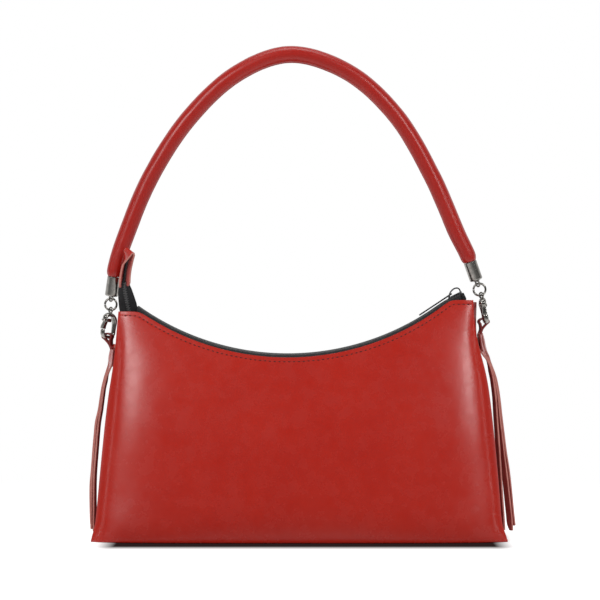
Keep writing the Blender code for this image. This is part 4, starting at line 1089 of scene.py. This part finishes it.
complete(pullPiece, "pull", [blackMetal], ["zip_pull"], angle=35)


# both tapes folded over and sewn down past the slider
item = flatPiece("zipTapeEnd", zipper["endOutline"], zipper["sliderHalf"] * 2, 0.0004)
setAt(item, turnedBy(90, "X"))
complete(item, "root", [zipWeave], ["zip_tape_end"])
print("zip ready")


# the zip's tail: tape, the end of the coil on it, and a folded leather tab
tail = {
    "wide": 0.010, "thick": 0.0012, "high": 0.0405, "tabWide": 0.011, "tabLeather": 0.0013,
    "curve": [(-0.101, -0.485), (-0.133, -0.238), (-0.170, -0.026), (-0.2146, 0.2457), (-0.222, 0.4037),
              (-0.205, 0.589), (-0.165, 0.774), (-0.121, 0.927)],
    # how far it stands forward, its turn and its half width, by share of its length
    "forward": 0.0145, "lean": 0.9, "turns": [(0.0, 84), (0.56, 82), (0.70, -12), (1.0, -12)],
    "halves": [(0.0, 0.0066), (0.32, 0.0066), (0.42, 0.0059), (0.515, 0.0051), (0.60, 0.0036), (0.65, 0.0014),
               (1.0, 0.0012)],
    "tapeTop": 0.93, "coils": 28, "coilFrom": 0.20, "coilSpan": 0.42, "coilSlant": 16,
    "tabTurn": 38, "splay": 0.0018, "tabFirst": 0.575, "tabMouth": 0.0092, "foldShare": 0.485, "seamAt": 0.64,
}
tailRoot = jointAt["zip_tail_bend"]
tailKnots = [tailRoot + Vector((a * tail["high"], -tail["forward"] * max(b, 0) ** tail["lean"],
                                b * tail["high"])) for a, b in tail["curve"]]
tailSteps = 90
tailLine = smoothPath(tailKnots, tailSteps)


def between(table, at):
    # reads a table of places and values with straight lines between them
    for (a, low), (b, high) in zip(table, table[1:]):
        if at <= b:
            return low + (high - low) * max(0, (at - a) / (b - a))
    return table[-1][1]


def tailSpot(share, aside, off, turned=None):
    # share goes along the tail, aside across it and off away from its face
    exact = unit(share) * tailSteps
    k = min(int(exact), tailSteps - 1)
    here = tailLine[k].lerp(tailLine[k + 1], exact - k)
    tangent = (tailLine[min(k + 2, tailSteps)] - tailLine[max(k - 1, 0)]).normalized()
    turn = math.radians(between(tail["turns"], share) if turned is None else turned)
    side = Vector((-math.sin(turn), -math.cos(turn), 0))
    side = (side - tangent * side.dot(tangent)).normalized()
    return here + side * aside + tangent.cross(side) * off, tangent, side


def tapePoint(u, v):
    # the tape comes up out of the bag, wider below than in the tab
    share = (v + 1) / 2 * tail["tapeTop"]
    return tailSpot(share, u * between(tail["halves"], share), tail["thick"] / 2)[0]


middle = tailSpot(0.5, 0, tail["thick"] / 2)[0] - tailSpot(0.5, 0, 0)[0]
item = clothSheet("zipTailTape", 16, 70, tapePoint, (tail["wide"], 0.044), tail["thick"],
                  lambda point: middle, bevel=0.0003)
complete(item, "", [zipWeave], ["zip_tail_tape"])
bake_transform(item)

rodLine = [Vector((0, -0.0014, 0)), Vector((0.0002, -0.0010, 0.0005)), Vector((0, 0, 0.0006)),
           Vector((-0.0002, 0.0010, 0.0005)), Vector((0, 0.0014, 0))]
item = roundBar("zipTailCoil", rodLine, [0.0003, 0.00034, 0.0004, 0.00034, 0.0003], sides=6)
places = []
for k in range(tail["coils"]):
    share = tail["coilFrom"] + tail["coilSpan"] * k / (tail["coils"] - 1)
    spot, tangent, side = tailSpot(share, 0, tail["thick"] / 2)
    along = Matrix((tangent, side, tangent.cross(side))).transposed().to_4x4()
    slant = tail["coilSlant"] if k % 2 else -tail["coilSlant"]
    places.append(Matrix.Translation(spot) @ along @ turnedBy(slant, "Z"))
copies(item, places)
complete(item, "zip_tail", [wornNylon], angle=50)

tabFirst = tail["tabFirst"]
tabStand = tail["thick"] / 2 + gap + tail["tabLeather"]


def tabPoint(u, v):
    # up one side, over the top and down the other, a little open at the mouth
    half = tail["foldShare"]
    if v < -1 + 2 * half:
        share, off = tabFirst + (1 - tabFirst) * (v + 1) / (2 * half), 1
    elif v > 1 - 2 * half:
        share, off = tabFirst + (1 - tabFirst) * (1 - v) / (2 * half), -1
    else:
        share, off = 1.0, -v / (1 - 2 * half)
    low = 1 - (share - tabFirst) / (1 - tabFirst)
    flare = tail["splay"] * low * (1 + u) / 2 if off < 0 else 0
    point = 1 - 0.45 * max(0, 1 - (1 - low) / 0.16) ** 2
    spot, tangent, side = tailSpot(share, u * point * tail["tabMouth"] / 2, (tabStand + flare) * off,
                                   -tail["tabTurn"] * (1 - (1 - off) / 2 * min(1, low * 3)))
    if share >= 0.999:
        spot += tangent * tabStand * math.sqrt(max(0, 1 - off * off))
    return spot


tabMiddle = tailSpot(0.75, 0, 0)[0]
item = leatherSheet("zipTailTab", 14, 120, tabPoint, (tail["tabWide"], 0.05), tail["tabLeather"],
                    lambda point: point - tabMiddle, bevel=0.00025)
complete(item, "zip_tail", [redLeather, suedeSide, rawEdge], ["zip_tail_tab"])
points, normals = [], []
for k in range(30):
    spot, tangent, side = tailSpot(tail["seamAt"], (k / 29 - 0.5) * 0.0068, tabStand, -tail["tabTurn"])
    points.append(spot)
    normals.append(tangent.cross(side))
stitchLine("tabStitches", points, normals, "zip_tail", pitch=0.0026, long=0.0019,
           margin=0.0006)
print("zip tail ready")


# the handle: a rolled leather tube on a cord, held in two end caps
handle = {
    "tilt": 2.3, "leftClaspLean": 9.5, "rightClaspLean": -7.5, "claspReach": 0.0147, "ringWire": 0.0008,
    "leftReach": 0.0160, "rightReach": 0.017, "capRadius": 0.0048, "capLong": 0.0140,
    "leftCapLean": 8.0, "rightCapLean": -19.5,
    "rise": 0.1568, "radius": 0.0062, "leather": 0.0016, "neck": 0.0045, "neckLong": 0.006, "coreTail": 0.006,
    # where it swells from the neck, where it is slimmer, the pleats at the caps, and the rolled seam
    "growLong": 0.0045, "slimLong": 0.028, "slimBy": 0.07,
    "pleatAt": 0.002, "pleatHigh": 0.00008, "pleats": 11,
    "seamTurn": 1.42, "seamDeep": 0.00045, "seamWide": 0.055,
    "eyeHole": 0.00136, "eyeWire": 0.00066, "eyeTurn": 38.0,
    "curve": [(0.037, 0.186), (0.1154, 0.461), (0.2346, 0.734), (0.375, 0.927), (0.5213, 1.0),
              (0.680, 0.906), (0.8075, 0.70), (0.9016, 0.415), (0.968, 0.132)],
}


def leaning(degrees):
    turn = math.radians(degrees)
    return Vector((math.sin(turn), 0, math.cos(turn)))


leftCapEye, rightCapEye = jointAt["handle_swing"], jointAt["right_link_swing"]
leftMouth = leftCapEye + leaning(handle["leftCapLean"]) * handle["leftReach"]
rightMouth = rightCapEye + leaning(handle["rightCapLean"]) * handle["rightReach"]
handleSpan = rightMouth - leftMouth
handleRise = Vector((-handleSpan.z, 0, handleSpan.x)).normalized() * handle["rise"]
handleKnots = [leftMouth + leaning(handle["leftCapLean"]) * gap / 4,
               leftMouth + leaning(handle["leftCapLean"]) * handle["neckLong"]]
handleKnots += [leftMouth + handleSpan * a + handleRise * b for a, b in handle["curve"]]
handleKnots += [rightMouth + leaning(handle["rightCapLean"]) * handle["neckLong"],
                rightMouth + leaning(handle["rightCapLean"]) * gap / 4]
handleSteps = 260
handleLine = smoothPath(handleKnots, handleSteps)
handleFrames = pathFrames(handleLine, Vector((0, 1, 0)))
handleLong = sum((b - a).length for a, b in zip(handleLine, handleLine[1:]))


def handleRadius(k, turn):
    # necks in at both caps with gathered pleats, and a rolled seam along the inner side
    fromEnd = min(k, handleSteps - k) / handleSteps * handleLong
    grown = min(1, fromEnd / handle["growLong"])
    grown = grown * (2 - grown)
    slim = max(0, 1 - fromEnd / handle["slimLong"])
    full = handle["radius"] * (1 - handle["slimBy"] * eased(slim))
    radius = handle["neck"] + (full - handle["neck"]) * grown
    pleat = hump(fromEnd - handle["pleatAt"], handle["pleatAt"])
    radius += handle["pleatHigh"] * pleat * math.sin(turn * handle["pleats"])
    along = k / handleSteps * handleLong
    radius += 0.00012 * noise.noise(Vector((along * 60, math.cos(turn) * 1.2, math.sin(turn) * 1.2))) * grown
    radius += 0.00005 * noise.noise(Vector((along * 260, math.cos(turn) * 3, math.sin(turn) * 3))) * grown
    fromSeam = turn - math.pi * handle["seamTurn"]
    inner = math.atan2(math.sin(fromSeam), math.cos(fromSeam))
    radius += 0.0001 * hump(abs(inner) - 0.2, 0.12)
    return radius - handle["seamDeep"] * hump(inner, handle["seamWide"])


def handleSpot(u, v):
    k = round((v + 1) / 2 * handleSteps)
    turn = math.pi * (u + 1)
    _, side, rise = handleFrames[k]
    return handleLine[k] + (side * math.cos(turn) + rise * math.sin(turn)) * handleRadius(k, turn)


def fromHandle(point):
    return point - min(handleLine[::4], key=lambda spot: (spot - point).length_squared)


item = leatherSheet("handleCover", 84, handleSteps, handleSpot, (0.039, handleLong), handle["leather"],
                    fromHandle, bevel=0.0002, closed=True)
complete(item, "handle", [handleLeather, suedeSide, inkedEdge], ["handle_cover"])
reclothe("handle_core", cottonCord)


def eyeRing(name):
    mean = handle["eyeHole"] + handle["eyeWire"]
    turns = [2 * math.pi * k / 28 for k in range(28)]
    item = roundBar(name, [Vector((0, mean * math.cos(a), mean * math.sin(a))) for a in turns],
                    handle["eyeWire"], sides=12, closed=True)
    item.data.transform(turnedBy(handle["eyeTurn"], "Z"))
    return item


for side, eye in (("left", leftCapEye), ("right", rightCapEye)):
    top, low = handle[side + "Reach"], handle[side + "Reach"] - handle["capLong"]
    bore, wide = handle["neck"] - handle["leather"], handle["capRadius"]
    neck = handle["eyeHole"] + handle["eyeWire"]
    profile = [(0.0010, neck - 0.0004), (0.0021, neck - 0.0002), (0.0023, neck), (0.0023, low - 0.0007),
               (wide - 0.0010, low - 0.0004), (wide - 0.0003, low), (wide, low + 0.0006),
               (wide, top - 0.0011), (wide + 0.0001, top - 0.0009), (wide + 0.0001, top - 0.0004),
               (wide - 0.0004, top), (bore, top), (bore, top - handle["coreTail"] - 2 * gap)]
    item = turned(side + "EndCap", profile, sides=64, bevel=0.00012)
    joinTo(item, eyeRing("capEye"))
    setAt(item, Matrix.Translation(eye) @ turnedBy(handle[side + "CapLean"], "Y"))
    complete(item, "handle", [gunmetal], [side + "_end_cap"], angle=35)

leftEye, rightEye = jointAt["left_link_swing"], jointAt["right_clasp_swing"]
for side, low, high in (("left", leftEye, leftCapEye), ("right", rightEye, rightCapEye)):
    half = (high - low).length / 2
    start = math.radians(181.5)
    turns = [start + math.radians(357) * k / 56 for k in range(57)]
    item = roundBar(side + "Ring", [Vector((half * math.cos(a), 0, half * math.sin(a))) for a in turns],
                    handle["ringWire"], sides=14)
    setAt(item, Matrix.Translation((low + high) / 2) @ turnedBy(-handle["tilt"], "Y"))
    complete(item, side + "_link", [gunmetal], [side + "_ring"], angle=50)
print("handle ready")


# trigger clasps: a hook and barrel in one casting, a sprung gate and its pin
clasp = {
    "half": 0.00505, "deep": 0.00505, "wire": 0.0012, "corner": 0.0034, "tip": 0.0004, "barrel": 0.0022,
    "pin": 0.00045, "pinX": -0.0032, "pinZ": 0.0072, "gate": 0.0032, "gateThick": 0.0013, "ear": 0.0007,
    "earReach": 0.0013, "breadth": 1.7, "leftSpin": 45.0, "rightSpin": 90.0,
}
gateRoom = clasp["gate"] / 2 + gap
leans = {side: handle[side + "ClaspLean"] - handle["tilt"] for side in ("left", "right")}
hooks = {"left": leftEye - leaning(leans["left"]) * handle["claspReach"],
         "right": rightEye - leaning(leans["right"]) * handle["claspReach"]}


def hookLine():
    wide, corner = clasp["half"], clasp["corner"]
    low = -clasp["deep"] + corner
    right = arcLine(wide - corner, low, corner, 0, -90, 10)
    left = arcLine(-wide + corner, low, corner, -90, -180, 10)
    flat = [(0.0004, 0.0116), (0.0024, 0.0109), (wide - 0.0008, 0.0085), (wide, 0.0055), (wide, 0.0022)]
    flat += right + left + [(-wide, 0.0)]
    return smoothPath([Vector((x, 0, z)) for x, z in flat + [(-wide, clasp["tip"])]], 70)


for side in ("left", "right"):
    upright = Matrix.Translation(hooks[side]) @ turnedBy(leans[side], "Y")
    place = upright @ turnedBy(clasp[side + "Spin"], "Z")
    line = hookLine()
    radii = [clasp["wire"] * (1.0 + 0.38 * max(0, 1 - abs(k - 13) / 16) ** 1.5) for k in range(len(line))]
    radii[-1] *= 0.82
    body = roundBar(side + "Clasp", line, radii, sides=18)
    deepened(body, clasp["breadth"])
    pinX, pinZ, reach = clasp["pinX"], clasp["pinZ"], clasp["earReach"]
    ears = block("ears", (-pinX + reach, 2 * (gateRoom + clasp["ear"]), 2 * reach),
                 ((pinX - reach) / 2, 0, pinZ), 0.0005)
    room = block("room", (3.5 * reach, 2 * gateRoom, 6 * reach), (pinX - 0.75 * reach, 0, pinZ), 0.00004, 1)
    modify(ears, "BOOLEAN", object=room, operation="DIFFERENCE", solver="EXACT")
    bpy.data.objects.remove(room)
    shoulder = smoothPath([Vector((x, 0, z)) for x, z in
                           ((0.0006, 0.0117), (-0.0022, 0.0111), (-0.0041, 0.0096), (-0.0044, 0.0078))], 14)
    radii = [clasp["wire"] * (1.0 + 0.25 * math.sin(math.pi * k / 14)) for k in range(15)]
    arm = roundBar("arm", shoulder, radii)
    deepened(arm, clasp["breadth"])
    joinTo(body, ears, arm)
    setAt(body, place)
    neck = handle["claspReach"] - handle["eyeHole"] - handle["eyeWire"]
    wide = clasp["barrel"]
    profile = [(wide * 0.6, 0.0098), (wide * 0.95, 0.0102), (wide, 0.0106), (wide, 0.0113),
               (wide * 0.86, 0.0115), (wide * 0.86, 0.0117), (wide * 0.95, 0.0119), (wide * 0.8, 0.0124),
               (0.0013, 0.0126), (0.0012, neck)]
    barrel = turned("barrel", profile, sides=40, bevel=0.0001)
    eye = eyeRing("claspEye")
    eye.data.transform(Matrix.Translation((0, 0, handle["claspReach"])))
    setAt(barrel, upright @ Matrix.Translation((0.0004, 0, 0)))
    setAt(eye, upright)
    joinTo(body, barrel, eye)
    complete(body, side + "_clasp", [gunmetal], [side + "_clasp_body"], angle=35)

    long = 2 * (gateRoom + clasp["ear"]) + 0.0003
    profile = [(0.00025, -long / 2), (clasp["pin"], -long / 2 + 0.0001), (clasp["pin"], long / 2 - 0.0001),
               (0.00025, long / 2)]
    pin = turned(side + "GatePin", profile, sides=20, bevel=0)
    setAt(pin, place @ Matrix.Translation((pinX, 0, pinZ)) @ turnedBy(90, "X"))
    complete(pin, side + "_clasp", [gunmetal], [side + "_gate_pin"], angle=35)

    thick = clasp["gateThick"]
    foot = clasp["tip"] + gap
    outer = -clasp["half"] - thick
    outline = arcLine(pinX, pinZ, 0.0011, 20, 130, 8)
    outline += arcLine(pinX - 0.0024, pinZ + 0.0002, 0.0006, 90, 210, 6) + [(pinX - 0.0016, pinZ - 0.0012)]
    outline += [(outer, foot + 0.0018), (outer, foot), (outer + 2 * thick, foot),
                (outer + 2 * thick + 0.0001, foot + 0.0020), (pinX + 0.0010, pinZ - 0.0005)]
    gate = flatPiece(side + "Gate", outline, clasp["gate"], 0.00022)
    gate.data.transform(turnedBy(90, "X"))
    setAt(gate, place)
    complete(gate, side + "_clasp_gate", [gunmetal], [side + "_gate"], angle=35)
print("clasps ready")


# side tabs: a teardrop loop of strap on a stitched patch, and the cut strips that hang from it
tab = {
    "strapWide": 0.0044, "strapThick": 0.0012, "loopHalf": 0.0031, "clearance": 0.0008, "point": 0.0022,
    "neck": 0.0085, "level": 0.0008, "foot": 0.0006, "bridge": 0.002, "corner": 0.0025,
    "patchWide": 0.022, "patchHigh": 0.013, "patchThick": 0.0011,
    "seamU": 0.84, "seamV": -0.78, "seamHigh": 1.2,
    "leftShift": 0.0004, "rightShift": -0.0018, "leftDraw": 0.0034, "rightDraw": 0.0028, "leftTurn": -26,
    "rightTurn": 15,
}
strip = {
    "wide": 0.0062, "thick": 0.0013, "steps": 84, "fan": 0.10, "over": 0.006, "under": 0.012,
    "leftTwist": ((20, -8, -14), (20, -12, -20), (16, -18, -26)),
    "rightTwist": ((18, -16, -26), (18, -24, -34), (14, -28, -38)),
    # outer outlines of the front, middle and back strips from the neck to the tip, in millimetres
    "leftLines": [
        [(-137, 141), (-137.9, 135), (-138.4, 131), (-139.5, 126), (-140.8, 121), (-142.4, 116),
         (-144, 110), (-145.2, 102), (-146.4, 93), (-148, 84), (-149, 75), (-149.7, 66), (-150.7, 52),
         (-151.4, 38), (-151.6, 20), (-151.7, 5)],
        [(-137.4, 141), (-138.5, 135), (-139.5, 130), (-140.4, 125), (-141.4, 121), (-143, 115.5),
         (-145, 108.5), (-146.2, 101), (-147.6, 92), (-149.5, 84), (-150.2, 75), (-151, 66), (-152.2, 52),
         (-153.1, 38), (-153.2, 20), (-153.2, 6)],
        [(-137.9, 141), (-139.2, 136.5), (-140.3, 132), (-140.9, 127), (-141.4, 123), (-143.3, 117),
         (-145.2, 109.5), (-146.6, 101.5), (-148, 92.7), (-150, 84), (-150.8, 75), (-151.6, 66), (-153, 49),
         (-153.8, 38), (-153.9, 20), (-153.6, 9)],
    ],
    "rightLines": [
        [(131.8, 149), (131.3, 144), (132.2, 139), (134.6, 133.6), (137, 129.4), (139.3, 124), (141, 117),
         (141.9, 111), (142.9, 103), (143.9, 90), (145.1, 75), (146.3, 55), (147.6, 35), (148.9, 18),
         (149.5, 6)],
        [(132.3, 149), (132.8, 144), (133.8, 139), (135.8, 133.6), (137.8, 129.4), (140.3, 124),
         (142.3, 117), (143.6, 109.5), (144.9, 101), (146.1, 88), (147.7, 75), (149.3, 60), (151.2, 45),
         (153.2, 28), (154.6, 14), (155, 5)],
        [(132.9, 149), (134.4, 144), (135.5, 139), (137.2, 133.6), (138.7, 128.5), (140.6, 123.5),
         (142.9, 117), (144.5, 110), (145.9, 101), (147.4, 87), (148.8, 75), (150.4, 62), (152.4, 49),
         (154.4, 31), (155.9, 17), (157, 8)],
    ],
}


def patchFace(side, z):
    out = outOf(side)
    share = tab["patchWide"] / 2 / (sideHalf(z) - leather - gap)
    return out * (max(out * gussetFace(side, z), out * gussetFace(side, z, share)) + gap)


def stripPoint(side, k, line, y, u, v):
    # the three strips leave the neck as one strap, then part and turn their flesh side forward
    share = (1 - v) / 2
    place = line[round(share * strip["steps"])]
    top, middle, low = strip[side + "Twist"][k]
    twist = math.radians(between([(0, top), (0.08, top), (0.2, middle), (1, low)], share))
    fan = 0.5 + 0.5 * min(1, share / strip["fan"])
    half = strip["wide"] / 2 * fan * (1 - 0.5 * max(0, (share - 0.95) / 0.05) ** 2)
    stir = 0.0005 * noise.noise(Vector((share * 5, k * 3.7, 2.0 if side == "left" else 9.0))) * share
    out = outOf(side)
    x = place.x * (1 + y / 1.8) + out * (stir - half * abs(math.sin(twist)) + u * half * math.sin(twist))
    return Vector((x, y * fan + u * half * math.cos(twist), place.z))


for side in ("left", "right"):
    out = outOf(side)
    loopBar = hooks[side] - leaning(leans[side]) * clasp["deep"]
    holeHalf = clasp["wire"] + tab["clearance"]
    patchTop = loopBar.z - tab["neck"]
    patchLow = patchTop - tab["patchHigh"]
    thick, point, wide = tab["strapThick"], tab["point"], tab["loopHalf"]
    mid = thick / 2
    # the strap's middle line: up one side, round over the bar and down the other to the neck
    low, crossing = -tab["neck"] - tab["foot"], -holeHalf - point - 0.0012
    line = [Vector((-mid * 0.9, 0, low)), Vector((-mid * 0.9, 0, crossing)),
            Vector((-wide * 0.72, 0, -holeHalf * 0.9))]
    line += [Vector(((wide + mid) * math.cos(a), 0, (holeHalf + mid) * math.sin(a)))
             for a in (math.pi - math.pi * k / 10 for k in range(11))]
    line += [Vector((wide * 0.72, 0, -holeHalf * 0.9)), Vector((mid * 0.9, 0, crossing)),
             Vector((mid * 0.9, 0, low))]
    loopSteps = 72
    loopLine = smoothPath(line, loopSteps)
    loopFrames = pathFrames(loopLine, Vector((0, 1, 0)))

    def strapPoint(u, v):
        k = round((v + 1) / 2 * loopSteps)
        return loopLine[k] + loopFrames[k][1] * u * tab["strapWide"] / 2 + loopFrames[k][2] * mid

    item = leatherSheet(side + "SideTab", 8, loopSteps, strapPoint, (tab["strapWide"], 0.03), thick,
                        lambda spot: spot - Vector((0, 0, -holeHalf * 0.3)))
    setAt(item, turnedBy(tab[side + "Turn"], "Z"))
    # below the bar the strap leads back in towards the bag
    shift = Vector((tab[side + "Shift"], 0, 0))
    for vert in item.data.vertices:
        vert.co += loopBar + shift
        low = unit((loopBar.z - tab["level"] - vert.co.z) / (tab["neck"] - tab["level"]))
        vert.co.x -= out * tab[side + "Draw"] * low
    neckX = loopBar.x + shift.x - out * tab[side + "Draw"]

    def patchPoint(u, v):
        # the patch follows the gusset; its top narrows into the bridge that carries the loop
        high = patchTop + tab["bridge"]
        z = patchLow + (high - patchLow) * (v + 1) / 2
        edge = patchTop - tab["bridge"] / 2
        narrow = eased(unit((z - edge) / (high - edge)))
        corner = tab["corner"]
        pinch = max(0, corner - (z - patchLow)) / corner
        half = tab["patchWide"] / 2 - corner * (1 - math.sqrt(max(0, 1 - pinch ** 2)))
        half += (tab["strapWide"] * 0.55 - half) * narrow
        face = patchFace(side, z) + out * tab["patchThick"]
        face += (neckX + out * thick - face) * narrow ** 2
        dome = 0.0002 * (1 - u ** 6)
        return Vector((face + out * dome, u * half, z))

    patch = leatherSheet("patch", 28, 30, patchPoint, (tab["patchWide"], tab["patchHigh"]), tab["patchThick"],
                         lambda spot: Vector((out, 0, 0)))
    joinTo(item, patch)
    # the loop and patch take the darker copy of the red leather, which is painted shade
    complete(item, "root", [shadedSideLeather, suedeSide, shadedSideLeather], [side + "_side_tab"])

    points, normals = [], []
    for k in range(121):
        # a U of stitches round the patch's lower edge
        turn = k / 120
        spotU = -tab["seamU"] + unit((turn - 0.3) / 0.4) * 2 * tab["seamU"]
        fall = 1 - min(1, turn / 0.3) if turn < 0.5 else max(0, (turn - 0.7) / 0.3)
        spot = patchPoint(spotU, tab["seamV"] + fall * tab["seamHigh"])
        points.append(spot)
        normals.append(Vector((out, 0, 0)))
    stitchLine(side + "PatchStitches", points, normals, "root", pitch=0.0027, long=0.0020,
               margin=0.0006)

    for k, place in enumerate(("front", "middle", "back")):
        body = side + "_" + place + "_strip"
        hinge = jointAt[body + "_lift"]
        line = smoothPath([Vector((x, 0, z)) / 1000 for x, z in strip[side + "Lines"][k]], strip["steps"])
        item = leatherSheet(side + "Strip" + place.capitalize(), 8, strip["steps"],
                            lambda u, v: stripPoint(side, k, line, hinge.y, u, v),
                            (strip["wide"], line[0].z), strip["thick"], lambda spot: Vector((out, 0, 0)),
                            bevel=0.0002)
        complete(item, "", [redLeather, suedeSide, rawEdge], ["%s_strip_%d" % (side, k + 1)])
        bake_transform(item)
print("side tabs and strips ready")


# the studio: floor, world, lamps and camera
studio = {
    "floorSize": 8.0, "floorTone": 0.80, "worldLevel": 0.44, "behind": 0.06, "ahead": 1.0, "aimZ": 0.12,
    # turn, width and watts of each softbox
    "leftSoftbox": (-31.0, 0.38, 11.5), "rightSoftbox": (33.0, 0.24, 9.5),
    "softboxTall": 0.80, "softboxAway": 2.2, "softboxRise": 27.0,
    "stripTurn": 62.0, "stripRise": 14.0, "stripWide": 0.07, "stripTall": 0.9, "stripWatts": 1.4,
    "topRise": 78, "topAway": 1.8, "topWide": 1.2, "topTall": 0.6, "topWatts": 7.5,
    "cameraAway": 1.8, "cameraX": -0.0004, "cameraZ": 0.173, "frameWide": 0.438,
    # half length, half depth and centre of the painted contact shadow on the floor, then how bright the floor
    # looks in reflections before the bag
    "shadeHalfLong": 0.133, "shadeHalfDeep": 0.0545, "shadeX": 0.003, "shadeY": -0.0135, "frontLevel": 0.25,
}


def buildFloor():
    item = added("floor", bpy.ops.mesh.primitive_plane_add, size=studio["floorSize"], location=(0, 0, 0))
    material = bpy.data.materials.new("floorWhite")
    material.use_nodes = True
    tree = material.node_tree
    tree.nodes.clear()
    here = wire(tree, "TexCoord").outputs["Object"]
    away = wire(tree, "VectorMath", {0: here}, operation="LENGTH").outputs["Value"]
    ray = wire(tree, "LightPath").outputs
    mirror = mathOf(tree, "MAXIMUM", ray["Is Glossy Ray"], ray["Is Transmission Ray"])
    seen = mathOf(tree, "MAXIMUM", ray["Is Camera Ray"], mirror)
    # how far a spot lies from the bag's footprint, which sets the painted contact shadow
    parts = wire(tree, "SeparateXYZ", {0: here}).outputs
    sides = []
    aside = minus(tree, parts[0], studio["shadeX"])
    deep = minus(tree, parts[1], studio["shadeY"])
    for part, half, weight in ((aside, studio["shadeHalfLong"], 1.6), (deep, studio["shadeHalfDeep"], 1.0)):
        past = mathOf(tree, "MAXIMUM", minus(tree, mathOf(tree, "ABSOLUTE", part), half), 0.0)
        sides.append(times(tree, past, weight))
    squares = [times(tree, side, side) for side in sides]
    off = mathOf(tree, "SQRT", plus(tree, *squares))
    # painted contact shadow: the floor's colour falls to near black round the bag's footprint
    tone = mixed(tree, spread(tree, off, 0.001, 0.026), solid(0.030, 0.018, 0.018),
                 solid(*[studio["floorTone"]] * 3))
    dull = wire(tree, "BsdfDiffuse", {"Color": tone}).outputs[0]
    # a mirror-like surface sees the bright floor behind the bag and a dimmer one before it
    before = times(tree, ray["Is Glossy Ray"], spread(tree, parts[1], -0.02, -0.3))
    level = minus(tree, 1.0, times(tree, before, 1 - studio["frontLevel"]))
    glow = wire(tree, "Emission", {"Color": solid(1, 1, 1), "Strength": level}).outputs[0]
    # the floor's glow also fades out round the footprint, so the painted shadow stays dark
    lifted = times(tree, spread(tree, off, 0.002, 0.030, 0.0, 0.7), level)
    lift = wire(tree, "Emission", {"Color": solid(1, 1, 1), "Strength": lifted}).outputs[0]
    near = wire(tree, "AddShader", {0: dull, 1: lift}).outputs[0]
    far = wire(tree, "MixShader", {0: spread(tree, away, 0.25, 0.6), 1: near, 2: glow}).outputs[0]
    shown = wire(tree, "MixShader", {0: seen, 1: dull, 2: far}).outputs[0]
    wire(tree, "OutputMaterial", {"Surface": shown})
    item.data.materials.append(material)


def buildWorld():
    world = bpy.data.worlds.new("studioWorld")
    bpy.context.scene.world = world
    world.use_nodes = True
    tree = world.node_tree
    tree.nodes.clear()
    ray = wire(tree, "LightPath").outputs
    mirror = mathOf(tree, "MAXIMUM", ray["Is Glossy Ray"], ray["Is Transmission Ray"])
    depth = wire(tree, "SeparateXYZ", {0: wire(tree, "TexCoord").outputs["Generated"]}).outputs[1]
    room = spread(tree, depth, -0.2, 0.5, studio["behind"], studio["ahead"])
    plain = times(tree, minus(tree, 1.0, mirror), studio["worldLevel"])
    level = plus(tree, times(tree, mirror, room), plain)
    strength = mathOf(tree, "MAXIMUM", level, ray["Is Camera Ray"])
    background = wire(tree, "Background", {"Color": solid(1, 1, 1), "Strength": strength}).outputs[0]
    wire(tree, "OutputWorld", {"Surface": background})


def softbox(name, turn, rise, away, wide, tall, watts):
    # turn goes round from the camera's side towards +X
    a, b, target = math.radians(turn), math.radians(rise), Vector((0, 0, studio["aimZ"]))
    spot = target + away * Vector((math.sin(a) * math.cos(b), -math.cos(a) * math.cos(b), math.sin(b)))
    lamp = added(name, bpy.ops.object.light_add, type="AREA", location=spot)
    lamp.rotation_euler = (target - spot).to_track_quat("-Z", "Y").to_euler()
    lamp.data.shape = "RECTANGLE"
    lamp.data.size, lamp.data.size_y = wide, tall
    lamp.data.energy = watts


buildFloor()
buildWorld()
for name in ("leftSoftbox", "rightSoftbox"):
    turn, wide, watts = studio[name]
    softbox(name, turn, studio["softboxRise"], studio["softboxAway"], wide, studio["softboxTall"], watts)
for name, hand in (("leftStrip", -1), ("rightStrip", 1)):
    softbox(name, hand * studio["stripTurn"], studio["stripRise"], studio["softboxAway"], studio["stripWide"],
            studio["stripTall"], studio["stripWatts"])
softbox("topSoftbox", 0, studio["topRise"], studio["topAway"], studio["topWide"], studio["topTall"],
        studio["topWatts"])

camera = added("camera", bpy.ops.object.camera_add, rotation=(math.pi / 2, 0, 0),
               location=(studio["cameraX"], -studio["cameraAway"], studio["cameraZ"]))
camera.data.lens = camera.data.sensor_width * studio["cameraAway"] / studio["frameWide"]
camera.data.sensor_fit = "HORIZONTAL"
bpy.context.scene.camera = camera
bpy.context.scene.view_settings.view_transform = "Standard"
print("studio ready")

for spare in spares:
    bpy.data.materials.remove(spare)
